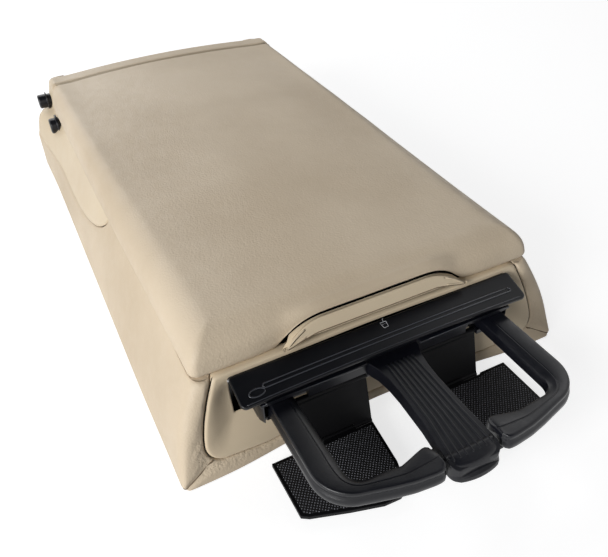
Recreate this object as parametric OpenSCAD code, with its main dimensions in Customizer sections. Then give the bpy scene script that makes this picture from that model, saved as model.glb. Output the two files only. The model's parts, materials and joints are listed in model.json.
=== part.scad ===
// Fold-down rear-seat armrest with a hinged storage lid and a slide-out double cup holder.
// Millimetres. X runs across the seat, Y runs from the cup holder back to the seat hinge,
// and Z is up. The armrest lies on its flat underside at Z = 0, centred on the origin.

/* [Lid] */
// Width of the padded lid
lid_w = 220; // [216:1:222]
// Length of the padded lid from its front edge to the hinge
lid_len = 392.3; // [392.3:0.1:393]
// Thickness of the padded lid
lid_h = 26; // [25:0.5:27]
// Radius of the padded edge
lid_edge_r = 18; // [14:1:20]
// Extra height of the lid along its middle line
lid_crown = 1.6; // [0:0.1:3]
// How much lower the lid is at its front end
lid_fall = 3; // [0:0.5:4]
// How far the crescent handle reaches to each side
handle_half = 61; // [58:1:64]
// Height of the crescent handle above the parting line
handle_rise = 12.5; // [11:0.5:14]

/* [Body] */
// Height of the parting line above the underside
belt_z = 63; // [62.5:0.5:63.5]
// How much wider each side is at the underside than at the parting line
flare = 23.2; // [20:0.2:24]
// How far the side swells between its edges
side_puff = 1.4; // [0:0.1:2]
// Half width of the swollen rear end, where the seat pins are
rear_half = 133.8; // [132:0.2:135]
// Rear end of the body, measured from the lid's front edge
body_rear = 428; // [427:1:430]
// Forward lean of the front face, in millimetres for each millimetre of height
front_lean = 0.252; // [0.24:0.002:0.26]
// Hollowing of the front face at the middle of the underside
dish_depth = 8; // [4:0.5:9]
// Wall thickness of the moulded bin
bin_wall = 3; // [2.5:0.5:3]

/* [Cup holder] */
// Half width of the slot in the front bezel
slot_half = 91; // [90.5:0.1:91.2]
// Lower edge of the slot
slot_z0 = 33; // [32.6:0.1:33]
// Upper edge of the slot
slot_z1 = 59.5; // [59:0.1:60]
// Half width of the closing flap
flap_half = 94.5; // [94:0.1:95]
// Slope of the closing flap in degrees
flap_slope = 17.3; // [16:0.1:18]
// Inner edge of a cup arm, measured from the middle
arm_in = 63.5; // [63:0.1:64]
// Width of a cup arm
arm_w = 14.5; // [14:0.1:15]
// Underside of the cup arms
arm_z = 37.6; // [37.5:0.1:37.8]
// Thickness of the cup arms
arm_t = 9.6; // [9.2:0.1:9.8]
// Front edge of the centre arm
centre_tip_y = -101; // [-102:0.5:-100]
// Number of grip ribs on the centre arm
rib_count = 7; // [5:1:7]
// Upper surface of the moulded foot plates
foot_z = 5.6; // [5.4:0.1:5.8]

/* [Seat pivots] */
// Radius of the two pivot pins
pivot_r = 6.5; // [6:0.1:7]
// Radius of the two guide pins
guide_r = 7; // [6.5:0.1:7.5]
// Reach of the pins from the middle of the armrest
pin_reach = 126; // [124:0.5:128]

/* [Hidden] */
$fn = 48;

// Front to rear middle of the whole object, which becomes Y = 0
mid_y = (body_rear + centre_tip_y) / 2;
// Half width of the body at the parting line
belt_half = lid_w / 2 + 0.5;
// Half width of the neck above the swollen rear end, at the parting line
neck_half = 114.5;
// Height up to which the rear end keeps its full width
swell_z = 30;
// Start of the swelling towards the rear end
swell_y = 362;
// Radius of the edge between side and underside
sole_r = 5;
// Inside half width of the padded cover
cover_in = 104;
// Thickness of the cover's floor
cover_floor = 5;
// Start of the bin behind the cup holder
bin_y0 = 118;
// Rear face of the bin
bin_y1 = 391;
// Top of the bin's rim
bin_top = 62;
// Inner face of the side panels
panel_in = 108;
// Front end of the side panels, and where their lower edge runs level
panel_y0 = 187;
panel_y1 = 293;
// Lowest line of the side panels
panel_z0 = 27.5;
// Lower end of the pockets for the pivot brackets
pocket_z0 = 19.5;
// Screws that hold the brackets, and those that hold the front shelf
bracket_screw_y = 362;
bracket_screw_z = [30, 54];
shelf_screw_x = 98;
shelf_screw_y = [12, 106];
// Lower edge of the rear closing plate
closure_z = 46.6;
// Lid hinge axis
hinge_y = 394;
hinge_z = 85;
hinge_r = 1.7;
hinge_pin_r = 0.9;
// Seat pivot and guide pins: centres, seats of their collars and reach
pivot_y = 419;
pivot_z = 66;
pivot_face = 117.5;
guide_y = 384;
guide_z = 54;
guide_face = 116.15;
guide_reach = pin_reach - 2;
// Latch handle pivot
latch_y = 9;
latch_z = 71;
// Flap pivot
flap_py = -3;
flap_pz = 56.3;
// Cup arm pivots
arm_px = 70.6;
arm_py = -13;
// Upper pivots of the rest links, and the hinges of the foot plates
link_y = -18;
link_z = 35.6;
plate_y = -26.6;
plate_z = 4.4;
// Inner and outer end of a rest link
link_x0 = 16.5;
link_x1 = 62;
// Damper gear
gear_x = 79;
gear_y = 46;
gear_teeth = 12;
gear_module = 1;
gear_pitch_r = gear_teeth * gear_module / 2;
// Running clearance of pins in their holes
run = 0.05;
// Small gap between moulded covers
seam = 0.4;

beige_leather = [0.75, 0.70, 0.61];
beige_plastic = [0.82, 0.75, 0.64];
black_plastic = [0.13, 0.13, 0.15];
black_gloss = [0.09, 0.09, 0.11];
mesh_black = [0.20, 0.20, 0.21];
steel = [0.62, 0.63, 0.65];
brass = [0.80, 0.65, 0.35];
rubber = [0.16, 0.16, 0.16];

// Rounding of the edge between side and underside at height z
function sole(z) = z < sole_r ? sole_r - sqrt(sole_r * sole_r - pow(sole_r - z, 2)) : 0;
// Half width of the body ahead of its swollen rear end, at height z
function side_x(z) = belt_half + flare * (1 - z / belt_z) + side_puff * sin(180 * z / belt_z) - sole(z);
// Half width of the rear end at height z
function rear_x(z) = let (t = max(0, (z - swell_z) / (belt_z + 0.6 - swell_z)))
    neck_half + (rear_half - neck_half) * sqrt(1 - t * t) - sole(z);
// Front face of the body at height z
function front_y(z) = -3 - front_lean * (belt_z - z);
// Points of an arc from angle a0 to a1, in n steps
function arc(cx, cy, r, a0, a1, n = 8) =
    [for (i = [0:n]) let (a = a0 + (a1 - a0) * i / n) [cx + r * cos(a), cy + r * sin(a)]];
// The same points on the other side of the middle, in reverse order
function mirrored(points) =
    [for (i = [len(points) - 1:-1:0]) [-points[i][0], points[i][1]]];

module place() {
    translate([0, -mid_y, 0]) children();
}

module sided(side) {
    if (side < 0) mirror([1, 0, 0]) children();
    else children();
}

module block(x, y, z) {
    translate([x[0], y[0], z[0]]) cube([x[1] - x[0], y[1] - y[0], z[1] - z[0]]);
}

module rod_x(x, y, z, r) {
    translate([x[0], y, z]) rotate([0, 90, 0]) cylinder(r = r, h = x[1] - x[0]);
}

module rod_z(x, y, z, r) {
    translate([x, y, z[0]]) cylinder(r = r, h = z[1] - z[0]);
}

// A profile in Y and Z, swept along X
module across(points, x) {
    translate([x[0], 0, 0]) rotate([90, 0, 90]) linear_extrude(x[1] - x[0]) polygon(points);
}

// A profile in X and Z, swept along Y
module along(points, y) {
    translate([0, y[1], 0]) rotate([90, 0, 0]) linear_extrude(y[1] - y[0]) polygon(points);
}

// A profile in X and Y, swept along Z
module upward(points, z) {
    translate([0, 0, z[0]]) linear_extrude(z[1] - z[0]) polygon(points);
}

// Everything behind the leaning, dished front face, moved back by inset
module behind_front(inset) {
    y_end = body_rear + 20;
    dish_half = 96;
    dish_r = (pow(dish_half, 2) + pow(dish_depth, 2)) / (2 * dish_depth);
    dish_lean = atan((dish_depth - front_lean * belt_z) / -belt_z);
    translate([0, inset, 0]) difference() {
        across([[front_y(-2), -2], [front_y(90), 90], [y_end, 90], [y_end, -2]], [-140, 140]);
        translate([0, front_y(0) + dish_depth - dish_r, 0]) rotate([-dish_lean, 0, 0])
            translate([0, 0, -30]) cylinder(r = dish_r, h = 150, $fn = 180);
    }
}

// The outer form of the lower body
module body_form() {
    levels = 12;
    heights = [for (i = [0:levels]) belt_z * pow(i / levels, 1.6)];
    straight = [for (z = heights) [side_x(z), z]];
    swell_from = [for (z = heights) [side_x(z) - 0.4, z]];
    swell_to = [for (z = heights) [rear_x(z), z]];
    rear_r = 12;
    side = concat(
        [[-60, 0], [-60, belt_z]],
        [[body_rear - 4, belt_z]],
        [[body_rear, belt_z - 18]],
        arc(body_rear - rear_r, rear_r, rear_r, 0, -90, 6)
    );
    intersection() {
        union() {
            along(concat(straight, mirrored(straight)), [-60, body_rear + 1]);
            hull() {
                along(concat(swell_from, mirrored(swell_from)), [swell_y, swell_y + 1]);
                along(concat(swell_to, mirrored(swell_to)), [body_rear, body_rear + 1.5]);
            }
        }
        across(side, [-140, 140]);
        behind_front(0);
    }
}

// Outline of the bezel in X and Z, grown by grow
function bezel_outline(grow) = let (
    right = concat(
        arc(92, 29, 22 + grow, -90, -12, 6),
        arc(106, 33, 9 + grow, -8, 14, 3),
        [[102.4 + grow, belt_z + 3]]
    )
) concat(right, mirrored(right));

// Outline of a side panel in Y and Z, grown by grow
function panel_outline(grow) = let (long = panel_y1 - panel_y0, deep = belt_z - 1 - panel_z0) concat(
    [[panel_y0 - grow, belt_z + 1]],
    [for (a = [0:9:90]) [panel_y1 - (long + grow) * cos(a), belt_z - 1 - (deep + grow) * sin(a)]],
    [[386, panel_z0 + 0.5 - grow]],
    arc(398, panel_z0 + 22, 21 + grow, -78, -38, 4),
    [[body_rear + 10, panel_z0 + 14 - grow]],
    [[body_rear + 10, belt_z + 1]]
);

module lower_cover() {
    color(beige_leather) place() difference() {
        body_form();
        intersection() {
            block([-cover_in, cover_in], [-40, body_rear - 6], [cover_floor, belt_z + 1]);
            behind_front(9);
        }
        along(bezel_outline(seam), [-40, 12]);
        for (side = [-1, 1]) sided(side) {
            across(panel_outline(seam), [panel_in - seam, 140]);
            block([cover_in - 1, panel_in], [350, body_rear - 2.5], [pocket_z0, belt_z + 1]);
        }
        block([-panel_in, panel_in], [405, body_rear + 1], [closure_z - 0.2, belt_z + 1]);
    }
}

module tub() {
    half = cover_in - 0.5;
    color(black_plastic) place() difference() {
        block([-half, half], [bin_y0, bin_y1], [cover_floor, bin_top]);
        block([-half + bin_wall, half - bin_wall], [bin_y0 + bin_wall, bin_y1 - bin_wall],
            [cover_floor + bin_wall, bin_top + 1]);
        for (side = [-1, 1]) sided(side) for (z = bracket_screw_z)
            rod_x([cover_in - 5, cover_in], bracket_screw_y, z, 2);
    }
}

module bezel() {
    wall = 4;
    color(beige_plastic) place() difference() {
        intersection() {
            along(bezel_outline(0), [-40, 30]);
            behind_front(0.3);
        }
        behind_front(wall);
        block([-120, 120], [-1, 20], [belt_z - 3, belt_z + 10]);
        block([-slot_half, slot_half], [-40, 30], [slot_z0, slot_z1]);
        for (side = [-1, 1]) sided(side)
            rod_x([slot_half - 1, slot_half + 4], flap_py, flap_pz, 1.2 + run);
    }
}

module cup_housing() {
    out_half = slot_half + 2;
    rail_t = 2.4;
    color(black_plastic) place() difference() {
        union() {
            block([-out_half, out_half], [1.5, bin_y0 - 2], [29, 58]);
            for (side = [-1, 1]) sided(side) {
                block([out_half - 1, cover_in - 1], [6, bin_y0 - 4], [54, 58]);
            }
        }
        difference() {
            block([-slot_half, slot_half], [0, bin_y0 - 4], [31, 56]);
            for (side = [-1, 1]) sided(side) {
                block([slot_half - rail_t, slot_half + 1], [4, bin_y0], [30, 34.7]);
                block([slot_half - rail_t, slot_half + 1], [4, bin_y0], [38.3, 39.8]);
            }
            damper_rack();
        }
        block([-13, 13], [3, 20], [55, 59]);
        for (side = [-1, 1]) sided(side) for (y = shelf_screw_y) rod_z(shelf_screw_x, y, [50, 60], 1.5);
    }
}

// Straight row of teeth on the housing's right wall that turns the damper gear
module damper_rack() {
    pitch = PI * gear_module;
    root_x = gear_x + gear_pitch_r + 1.25 * gear_module;
    tip_x = gear_x + gear_pitch_r - 0.8 * gear_module;
    teeth = 11;
    union() {
        block([root_x, slot_half + 1], [gear_y - 17, gear_y + 19], [39.8, 44.8]);
        for (i = [0:teeth - 1]) let (y = gear_y + (i - (teeth - 1) / 2 + 0.5) * pitch)
            upward([
                [root_x + 0.1, y - 1.1], [tip_x, y - 0.42],
                [tip_x, y + 0.42], [root_x + 0.1, y + 1.1]
            ], [40.2, 44.4]);
    }
}

module front_shelf() {
    half = cover_in - 0.5;
    color(black_plastic) place() difference() {
        union() {
            block([-half, half], [1.5, bin_y0 - 0.2], [58, 60.2]);
            for (y = [30, 60, 90]) block([-80, 80], [y, y + 1.6], [60.2, 61.4]);
        }
        block([-10, 10], [4, 20], [57, 62]);
        block([-12.6, 12.6], [12.8, 17.2], [57, 61]);
        for (side = [-1, 1]) sided(side) for (y = shelf_screw_y) rod_z(shelf_screw_x, y, [57, 62], 1.6);
    }
}

module striker() {
    color(steel) place() union() {
        rod_x([-12, 12], 15, 57, 1.5);
        for (side = [-1, 1]) sided(side) difference() {
            block([10.2, 12.4], [7, 19.5], [60.2, 61]);
            rod_z(11.3, 17.5, [60, 62], 0.6);
        }
        for (side = [-1, 1]) sided(side) intersection() {
            block([10.2, 12.4], [13, 17], [56, 60.6]);
            block([9, 13], [10, 20], [55.5, 61]);
        }
    }
}

module side_panel(side) {
    upright = [[394.5, belt_z - 1], [397, 84], [417, 84], [body_rear - 0.5, belt_z - 1]];
    neck = [
        [panel_in, belt_z - 2], [118.6, belt_z - 2], [115.4, 74],
        [112.9, 82], [111.5, 84], [panel_in, 84]
    ];
    boss_r = 9.5;
    color(beige_plastic) place() sided(side) difference() {
        union() {
            intersection() {
                body_form();
                across(panel_outline(0), [panel_in, 140]);
            }
            intersection() {
                across(upright, [panel_in, 140]);
                along(neck, [390, body_rear]);
            }
            rod_x([panel_in, pivot_face], pivot_y, pivot_z, boss_r);
        }
        rod_x([panel_in - 1, 140], pivot_y, pivot_z, pivot_r + 0.3);
        rod_x([pivot_face, 140], pivot_y, pivot_z, pivot_r + 2);
        rod_x([panel_in - 1, 140], guide_y, guide_z, guide_r + 0.3);
        rod_x([guide_face, 140], guide_y, guide_z, guide_r + 3);
    }
}

module rear_strip() {
    top = 87.4;
    outer = concat(
        [[396, 70]],
        arc(400.5, top - 4.5, 4.5, 180, 90, 5),
        arc(410, top - 7, 7, 88, 20, 5),
        [[419, 70]]
    );
    inner = [[399, 69], [399, 80], [402, 84.2], [409, 84.2], [413, 80], [415.4, 69]];
    color(beige_leather) place() difference() {
        across(outer, [-112, 112]);
        across(inner, [-109, 109]);
        for (side = [-1, 1]) sided(side) block([cover_in - 1.2, 113], [390, 425], [60, 84.2]);
    }
}

module rear_closure() {
    t = 2.6;
    plate = [[419 - t, 70], [419, 70], [body_rear - 0.4, closure_z], [body_rear - 0.4 - t, closure_z]];
    color(beige_plastic) place() across(plate, [-cover_in + 0.6, cover_in - 0.6]);
}

module pivot_bracket(side) {
    outline = concat(
        arc(362, 28, 8, 180, 270, 5),
        arc(390, 32, 12, 270, 340, 5),
        arc(pivot_y - 5, pivot_z - 1.5, 11, -40, 60, 6),
        [[409, 78], [401.5, 78], [400, 66], [394, 62.2], [354, 62.2]]
    );
    color(steel) place() sided(side) difference() {
        across(outline, [cover_in - 0.5, cover_in + 2.5]);
        rod_x([cover_in - 2, cover_in + 4], pivot_y, pivot_z, 4);
        rod_x([cover_in - 2, cover_in + 4], guide_y, guide_z, 4);
        for (z = bracket_screw_z) rod_x([cover_in - 2, cover_in + 4], bracket_screw_y, z, 2.1);
    }
}

// Shouldered pin: spigot through the bracket, shank through the panel, collar and free end
module seat_pin(side, y, z, r, collar_r, collar, reach) {
    lead = 1;
    color(black_plastic) place() sided(side) union() {
        rod_x([cover_in - 0.5, cover_in + 3], y, z, 4);
        rod_x([cover_in + 2.5, collar[0] + 0.1], y, z, r - 0.2);
        rod_x(collar, y, z, collar_r);
        rod_x([collar[1], reach - lead], y, z, r);
        translate([reach - lead, y, z]) rotate([0, 90, 0]) cylinder(r1 = r, r2 = r - lead, h = lead);
    }
}

module pivot_pin(side) {
    collar = [pivot_face + 0.05, pivot_face + 1];
    seat_pin(side, pivot_y, pivot_z, pivot_r, pivot_r + 1.5, collar, pin_reach);
}

module guide_pin(side) {
    collar = [guide_face + 0.05, guide_face + 1.85];
    seat_pin(side, guide_y, guide_z, guide_r, guide_r + 2.6, collar, guide_reach);
}

module bracket_screws() {
    color(steel) place() for (side = [-1, 1]) sided(side) for (z = bracket_screw_z) union() {
        rod_x([cover_in - 5, cover_in + 2.5], bracket_screw_y, z, 2);
        rod_x([cover_in + 2.5, cover_in + 3.3], bracket_screw_y, z, 3.6);
    }
}

module shelf_screws() {
    color(steel) place() for (side = [-1, 1]) sided(side) for (y = shelf_screw_y) union() {
        rod_z(shelf_screw_x, y, [50.5, 60.2], 1.5);
        rod_z(shelf_screw_x, y, [60.2, 61.8], 3);
    }
}

module push_catch() {
    color(black_gloss) place() difference() {
        block([-8, 8], [bin_y0 - 14, bin_y0 - 4], [36, 46]);
        block([-4, 4], [bin_y0 - 15, bin_y0 - 8], [39, 43]);
    }
}

// Hinge leaf with every second knuckle, bored for the pin
module hinge_leaf(leaf_y, first) {
    knuckles = 10;
    pitch = 20;
    color(steel) place() difference() {
        union() {
            block([-100, 100], leaf_y, [72, hinge_z - hinge_r + 0.2]);
            for (i = [first:2:knuckles - 1]) let (x = -100 + i * pitch) {
                rod_x([x + 0.15, x + pitch - 0.15], hinge_y, hinge_z, hinge_r);
                block([x + 0.15, x + pitch - 0.15], leaf_y, [80, hinge_z]);
            }
        }
        rod_x([-101, 101], hinge_y, hinge_z, hinge_pin_r + run);
    }
}

module hinge_leaf_base() {
    hinge_leaf([hinge_y + hinge_r - 0.8, hinge_y + hinge_r], 0);
}

module hinge_leaf_lid() {
    hinge_leaf([hinge_y - hinge_r, hinge_y - hinge_r + 0.8], 1);
}

module lid_hinge_pin() {
    color(steel) place() union() {
        rod_x([-100, 100], hinge_y, hinge_z, hinge_pin_r);
        rod_x([-101, -100], hinge_y, hinge_z, hinge_r);
        rod_x([100, 101], hinge_y, hinge_z, hinge_r);
    }
}

// Arch of the crescent handle in X and Z, grown by grow
function crescent(grow) = let (
    flat = 34,
    end_rise = 1.5,
    reach = handle_half - flat,
    rise = handle_rise - end_rise,
    r = (reach * reach + rise * rise) / (2 * rise),
    right = [for (i = [0:8]) let (a = 90 - asin(reach / r) * (8 - i) / 8)
        [flat + (r + grow) * cos(a), belt_z + handle_rise - r + (r + grow) * sin(a)]],
    foot = handle_half + grow
) concat([[-foot, belt_z - 5], [foot, belt_z - 5]], right, mirrored(right));

module lid_board() {
    half = lid_w / 2 - 5;
    color(black_plastic) place() difference() {
        union() {
            block([-half, half], [6, lid_len - 4], [belt_z + 0.4, belt_z + 3.4]);
            for (x = [-70:35:70])
                block([x - 1, x + 1], [40, lid_len - 20], [belt_z + 3.4, belt_z + 7]);
            for (y = [40:68:380])
                block([-90, 90], [y - 1, y + 1], [belt_z + 3.4, belt_z + 7]);
            for (side = [-1, 1]) sided(side) {
                block([32, 35], [latch_y - 3, latch_y + 5], [belt_z + 0.4, latch_z]);
                rod_x([32, 35], latch_y, latch_z, 3);
            }
        }
        block([-10, 10], [4, 20], [belt_z - 1, belt_z + 8]);
        for (side = [-1, 1]) sided(side) {
            rod_x([31, 36], latch_y, latch_z, 1.5);
            rod_z(92, 20, [belt_z - 1, belt_z + 8], 2.5);
        }
    }
}

// Section of the padded lid in X and Z, with the given height of its middle line
function lid_section(top) = let (
    half = lid_w / 2,
    r = lid_edge_r,
    flat = half - r,
    steps = 12
) concat(
    [[half, belt_z]],
    arc(flat, top - lid_crown - r, r, 0, 84, 7),
    [for (i = [1:steps - 1]) let (x = flat * (1 - 2 * i / steps))
        [x, top - lid_crown * pow(x / flat, 2)]],
    arc(-flat, top - lid_crown - r, r, 96, 180, 7),
    [[-half, belt_z]]
);

module lid_pad() {
    top = belt_z + lid_h;
    half = lid_w / 2;
    front_top = top - lid_fall;
    nose_r = 17;
    slope = atan(lid_fall / lid_len);
    side = concat(
        [[0, belt_z], [0, belt_z + 4]],
        arc(nose_r, front_top + 0.2 - nose_r, nose_r, 172, 90 + slope, 7),
        [[lid_len - 6, top + 0.1], [lid_len - 2.4, hinge_z + 2.4], [lid_len, hinge_z], [lid_len, belt_z]]
    );
    corner_r = 9;
    plan = concat(
        arc(half - corner_r, corner_r, corner_r, -90, 0, 6),
        [[half, lid_len + 1], [-half, lid_len + 1]],
        arc(corner_r - half, corner_r, corner_r, 180, 270, 6)
    );
    color(beige_leather) place() difference() {
        intersection() {
            hull() {
                along(lid_section(front_top), [-1, 0]);
                along(lid_section(top), [lid_len, lid_len + 1]);
            }
            across(side, [-half - 1, half + 1]);
            upward(plan, [0, 120]);
        }
        block([-half + 5, half - 5], [6, lid_len - 4], [belt_z - 1, belt_z + 7]);
        along(crescent(1.6), [-2, 5]);
        block([-48, 48], [-1, 22], [belt_z - 1, latch_z + 7]);
    }
}

module lid_buffers() {
    color(rubber) place() for (side = [-1, 1]) sided(side) union() {
        rod_z(92, 20, [belt_z + 0.4, belt_z + 3.4], 2.5);
        rod_z(92, 20, [60.5, belt_z + 0.4], 5);
    }
}

module latch_pin() {
    color(steel) place() rod_x([-36, 36], latch_y, latch_z, 1.5);
}

module latch_spring() {
    color(steel) place() for (i = [0:4]) translate([14 + i * 1.3, latch_y, latch_z])
        rotate([0, 90, 0]) rotate_extrude() translate([2.6, 0]) circle(r = 0.5, $fn = 16);
}

module latch_handle() {
    front = [
        [-6, belt_z + 1.8], [-5.6, belt_z + 5.4], [-1.6, belt_z + 13.5], [1.4, belt_z + 13.5],
        [1.4, belt_z + 7], [-2.6, belt_z + 4.2], [-3.4, belt_z + 1.8]
    ];
    under = [[-60, belt_z], [-50, belt_z + 3.4], [-43, belt_z + 5.4]];
    hook = [
        [latch_y - 1.5, latch_z], [latch_y - 1.5, 53.5], [latch_y + 2, 53.5], [latch_y + 4.1, 54.8],
        [latch_y + 4.1, 55.3], [latch_y + 1.5, 55.3], [latch_y + 1.5, latch_z]
    ];
    lever = [[0, belt_z + 6], [1.4, belt_z + 11], [latch_y, latch_z + 3], [latch_y, latch_z - 3]];
    hub_r = 3;
    color(beige_plastic) place() difference() {
        union() {
            intersection() {
                along(crescent(0), [-8, 8]);
                across(front, [-70, 70]);
                difference() {
                    block([-70, 70], [-9, 9], [belt_z, belt_z + 20]);
                    along(concat(under, mirrored(under)), [-10, -2]);
                }
            }
            for (side = [-1, 1]) sided(side) {
                across(lever, [26, 29]);
                across(lever, [5, 8]);
                rod_x([26, 29], latch_y, latch_z, hub_r);
            }
            rod_x([-8, 8], latch_y, latch_z, hub_r);
            across(hook, [-8, 8]);
        }
        rod_x([-40, 40], latch_y, latch_z, 1.5 + run);
    }
}

// Long outline with round ends in X and Y
function stadium(half, r, y) = concat(
    arc(half, y, r, -90, 90, 8),
    arc(-half, y, r, 90, 270, 8)
);

module flap() {
    rear_y = -5.4;
    rear_z = 60.7;
    depth = 20.2;
    t = 2.6;
    bead_y = -12.4;
    bead_r = 2.8;
    bead_half = flap_half - 11;
    groove = 0.7;
    plate = concat(
        [[0, 0], [-0.6, 0]],
        arc(-depth + 1.2, -1.2, 1.2, 90, 180, 4),
        arc(-depth + 1.2, -t + 0.2, 1.2, 180, 270, 4),
        [[-depth + 3, -t], [0, -t]]
    );
    chamfer = [[flap_half - 4, -30], [flap_half + 1, -30], [flap_half + 1, -20]];
    lug = [
        [-7.6, 58.6], [-5, 58.9], [flap_py + 1.4, flap_pz + 1.2],
        [flap_py + 1.4, flap_pz - 1.4], [flap_py - 1.6, flap_pz - 1.4]
    ];
    color(black_gloss) place() union() {
        difference() {
            translate([0, rear_y, rear_z]) rotate([flap_slope, 0, 0]) difference() {
                across(plate, [-flap_half, flap_half]);
                difference() {
                    upward(stadium(bead_half, bead_r, bead_y), [-0.4, 1]);
                    upward(stadium(bead_half, bead_r - groove, bead_y), [-1, 2]);
                }
            }
            for (side = [-1, 1]) sided(side) upward(chamfer, [40, 70]);
        }
        for (side = [-1, 1]) sided(side) across(lug, [slot_half - 3.4, slot_half - 0.4]);
    }
}

module flap_pin(side) {
    color(steel) place() sided(side) rod_x([slot_half - 0.4, slot_half + 3.6], flap_py, flap_pz, 1.2);
}

module carriage() {
    plate_half = 88;
    bar_half = 84;
    wing_half = bar_half + 1.5;
    wing = [[53, -23], [80, -23], [wing_half, -17], [wing_half, -8], [bar_half, -3], [53, -3]];
    fork_x = link_x1 + 0.4;
    fork = [[fork_x, -21], [80, -21], [bar_half, -16], [bar_half, -3], [fork_x, -3]];
    color(black_plastic) place() difference() {
        union() {
            block([-plate_half, plate_half], [-3.5, 72], [35, 38]);
            block([-bar_half, bar_half], [-5.5, -3], [35, 50]);
            block([-54, 54], [-20, -3], [38.4, 50]);
            for (side = [-1, 1]) sided(side) {
                upward(wing, [arm_z + arm_t + 0.4, 50]);
                upward(fork, [34, arm_z - 0.4]);
                rod_x([link_x0 - 4, link_x0 - 0.4], link_y, link_z, 2.2);
                block([link_x0 - 4, link_x0 - 0.4], [link_y - 1, -3.2], [link_z, 38.6]);
                rod_x([fork_x, link_x1 + 4], link_y, link_z, 1.9);
                block([bar_half - 6, bar_half], [-3.5, 26], [37.5, 46]);
            }
            for (y = [0:12:60]) block([-62, 62], [y, y + 1.5], [37.5, 41]);
            for (x = [-60:40:60]) block([x - 0.75, x + 0.75], [-3.5, 66], [37.5, 41]);
        }
        for (side = [-1, 1]) sided(side) {
            rod_z(arm_px, arm_py, [30, 60], 2.2);
            rod_x([10, 70], link_y, link_z, 1.2);
        }
        block([-50, 50], [-18, -5.5], [44, 51]);
    }
}

module centre_arm() {
    tip_half = 15.4;
    tip_r = 6;
    right = concat(
        [[17, -20], [16.4, -23.5], [14.2, -29], [12.8, -38], [12.4, -48], [13, -70]],
        arc(tip_half - tip_r, centre_tip_y + tip_r, tip_r, 0, -90, 6)
    );
    side = [
        [-20, 48.4], [-30, 48], [-70, 46.4], [-96, 43.8], [centre_tip_y + 0.6, 42],
        [centre_tip_y, 40], [centre_tip_y, 35.6], [centre_tip_y + 1.5, 34.2],
        [-88, 34.6], [-80, 37.6], [-20, 38.8]
    ];
    rib_side = [[-28, 48.9], [-70, 47.1], [-95.5, 44.5], [-95.5, 42], [-28, 44]];
    rib_t = 0.55;
    color(black_plastic) place() union() {
        intersection() {
            upward(concat(right, mirrored(right)), [20, 60]);
            across(side, [-20, 20]);
        }
        intersection() {
            across(rib_side, [-20, 20]);
            union() for (i = [0:rib_count - 1]) let (t = i / (rib_count - 1) * 2 - 1) upward([
                [t * 8.6 - rib_t, -28], [t * 9.6 - rib_t, -70], [t * 12 - rib_t, -95.5],
                [t * 12 + rib_t, -95.5], [t * 9.6 + rib_t, -70], [t * 8.6 + rib_t, -28]
            ], [40, 60]);
        }
    }
}

module damper_body() {
    color(black_gloss) place() union() {
        rod_z(gear_x, gear_y, [38, 40], 7);
        rod_z(gear_x, gear_y, [40, 44.8], 1.5);
        block([gear_x - 12, gear_x], [gear_y - 3, gear_y + 3], [38, 39.6]);
    }
}

// Spur gear whose flanks are straight lines between root and tip
module damper_gear() {
    root_r = gear_pitch_r - 1.25 * gear_module;
    tip_r = gear_pitch_r + 0.8 * gear_module;
    step = 360 / gear_teeth;
    tooth = [[root_r, -10.5], [tip_r, -3.2], [tip_r, 3.2], [root_r, 10.5]];
    color(beige_plastic) place() translate([gear_x, gear_y, 40.3]) difference() {
        linear_extrude(3.8) polygon([for (i = [0:gear_teeth - 1], p = tooth)
            [p[0] * cos(i * step + p[1]), p[0] * sin(i * step + p[1])]]);
        translate([0, 0, -1]) cylinder(r = 1.5 + run, h = 6);
    }
}

module arm_pin(side) {
    color(brass) place() sided(side) union() {
        rod_z(arm_px, arm_py, [33.2, 50.6], 2.2);
        rod_z(arm_px, arm_py, [50, 51.2], 3.4);
    }
}

module arm_spring(side) {
    color(steel) place() sided(side) for (i = [0:3]) translate([arm_px, arm_py, 41 + i * 1.1])
        rotate_extrude() translate([3.2, 0]) circle(r = 0.45, $fn = 16);
}

// Curved arm that grips a cup: a narrow top ridge, a sloping outer shoulder and a thickened tip
module cup_arm(side) {
    out_x = arm_in + arm_w;
    bend_r = 22;
    bend_x = out_x - bend_r;
    bend_y = -70;
    inner_r = 9;
    inner_x = arm_in - inner_r;
    inner_y = -75;
    tip_x = 19;
    // The outer shoulder falls by drop over a width of slope
    drop = 2.8;
    slope = 6.5;
    top = arm_z + arm_t;
    root_r = 7;
    outline = concat(
        [[arm_in, -16], [arm_in, inner_y]],
        arc(inner_x, inner_y, inner_r, 0, -90, 6),
        [[32, -84.6], [24, -80.6]],
        arc(tip_x + 2.2, -83, 2.2, 80, 180, 4),
        arc(tip_x + 2.4, -96.4, 2.4, 180, 262, 4),
        arc(bend_x, bend_y, bend_r, -78, 0, 8),
        [[out_x, -16]]
    );
    shoulder = [[0, -drop], [4, -drop], [4, 1], [-slope, 1], [-slope, 0]];
    color(black_plastic) place() sided(side) difference() {
        union() {
            upward(outline, [arm_z, top]);
            rod_z(arm_px, arm_py, [arm_z, top], root_r);
        }
        rod_z(arm_px, arm_py, [30, 60], 2.2 + run);
        rod_z(arm_px, arm_py, [40.2, 45.2], 4);
        translate([bend_x, bend_y, top]) rotate([0, 0, -92])
            rotate_extrude(angle = 92, $fn = 96)
                polygon([for (p = shoulder) [bend_r + 0.01 + p[0], p[1]]]);
        translate([out_x, bend_y, top]) along(shoulder, [-0.01, 46]);
    }
}

module link_pin(side) {
    color(steel) place() sided(side) rod_x([link_x0 - 4, link_x1 + 4], link_y, link_z, 1.2);
}

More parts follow.
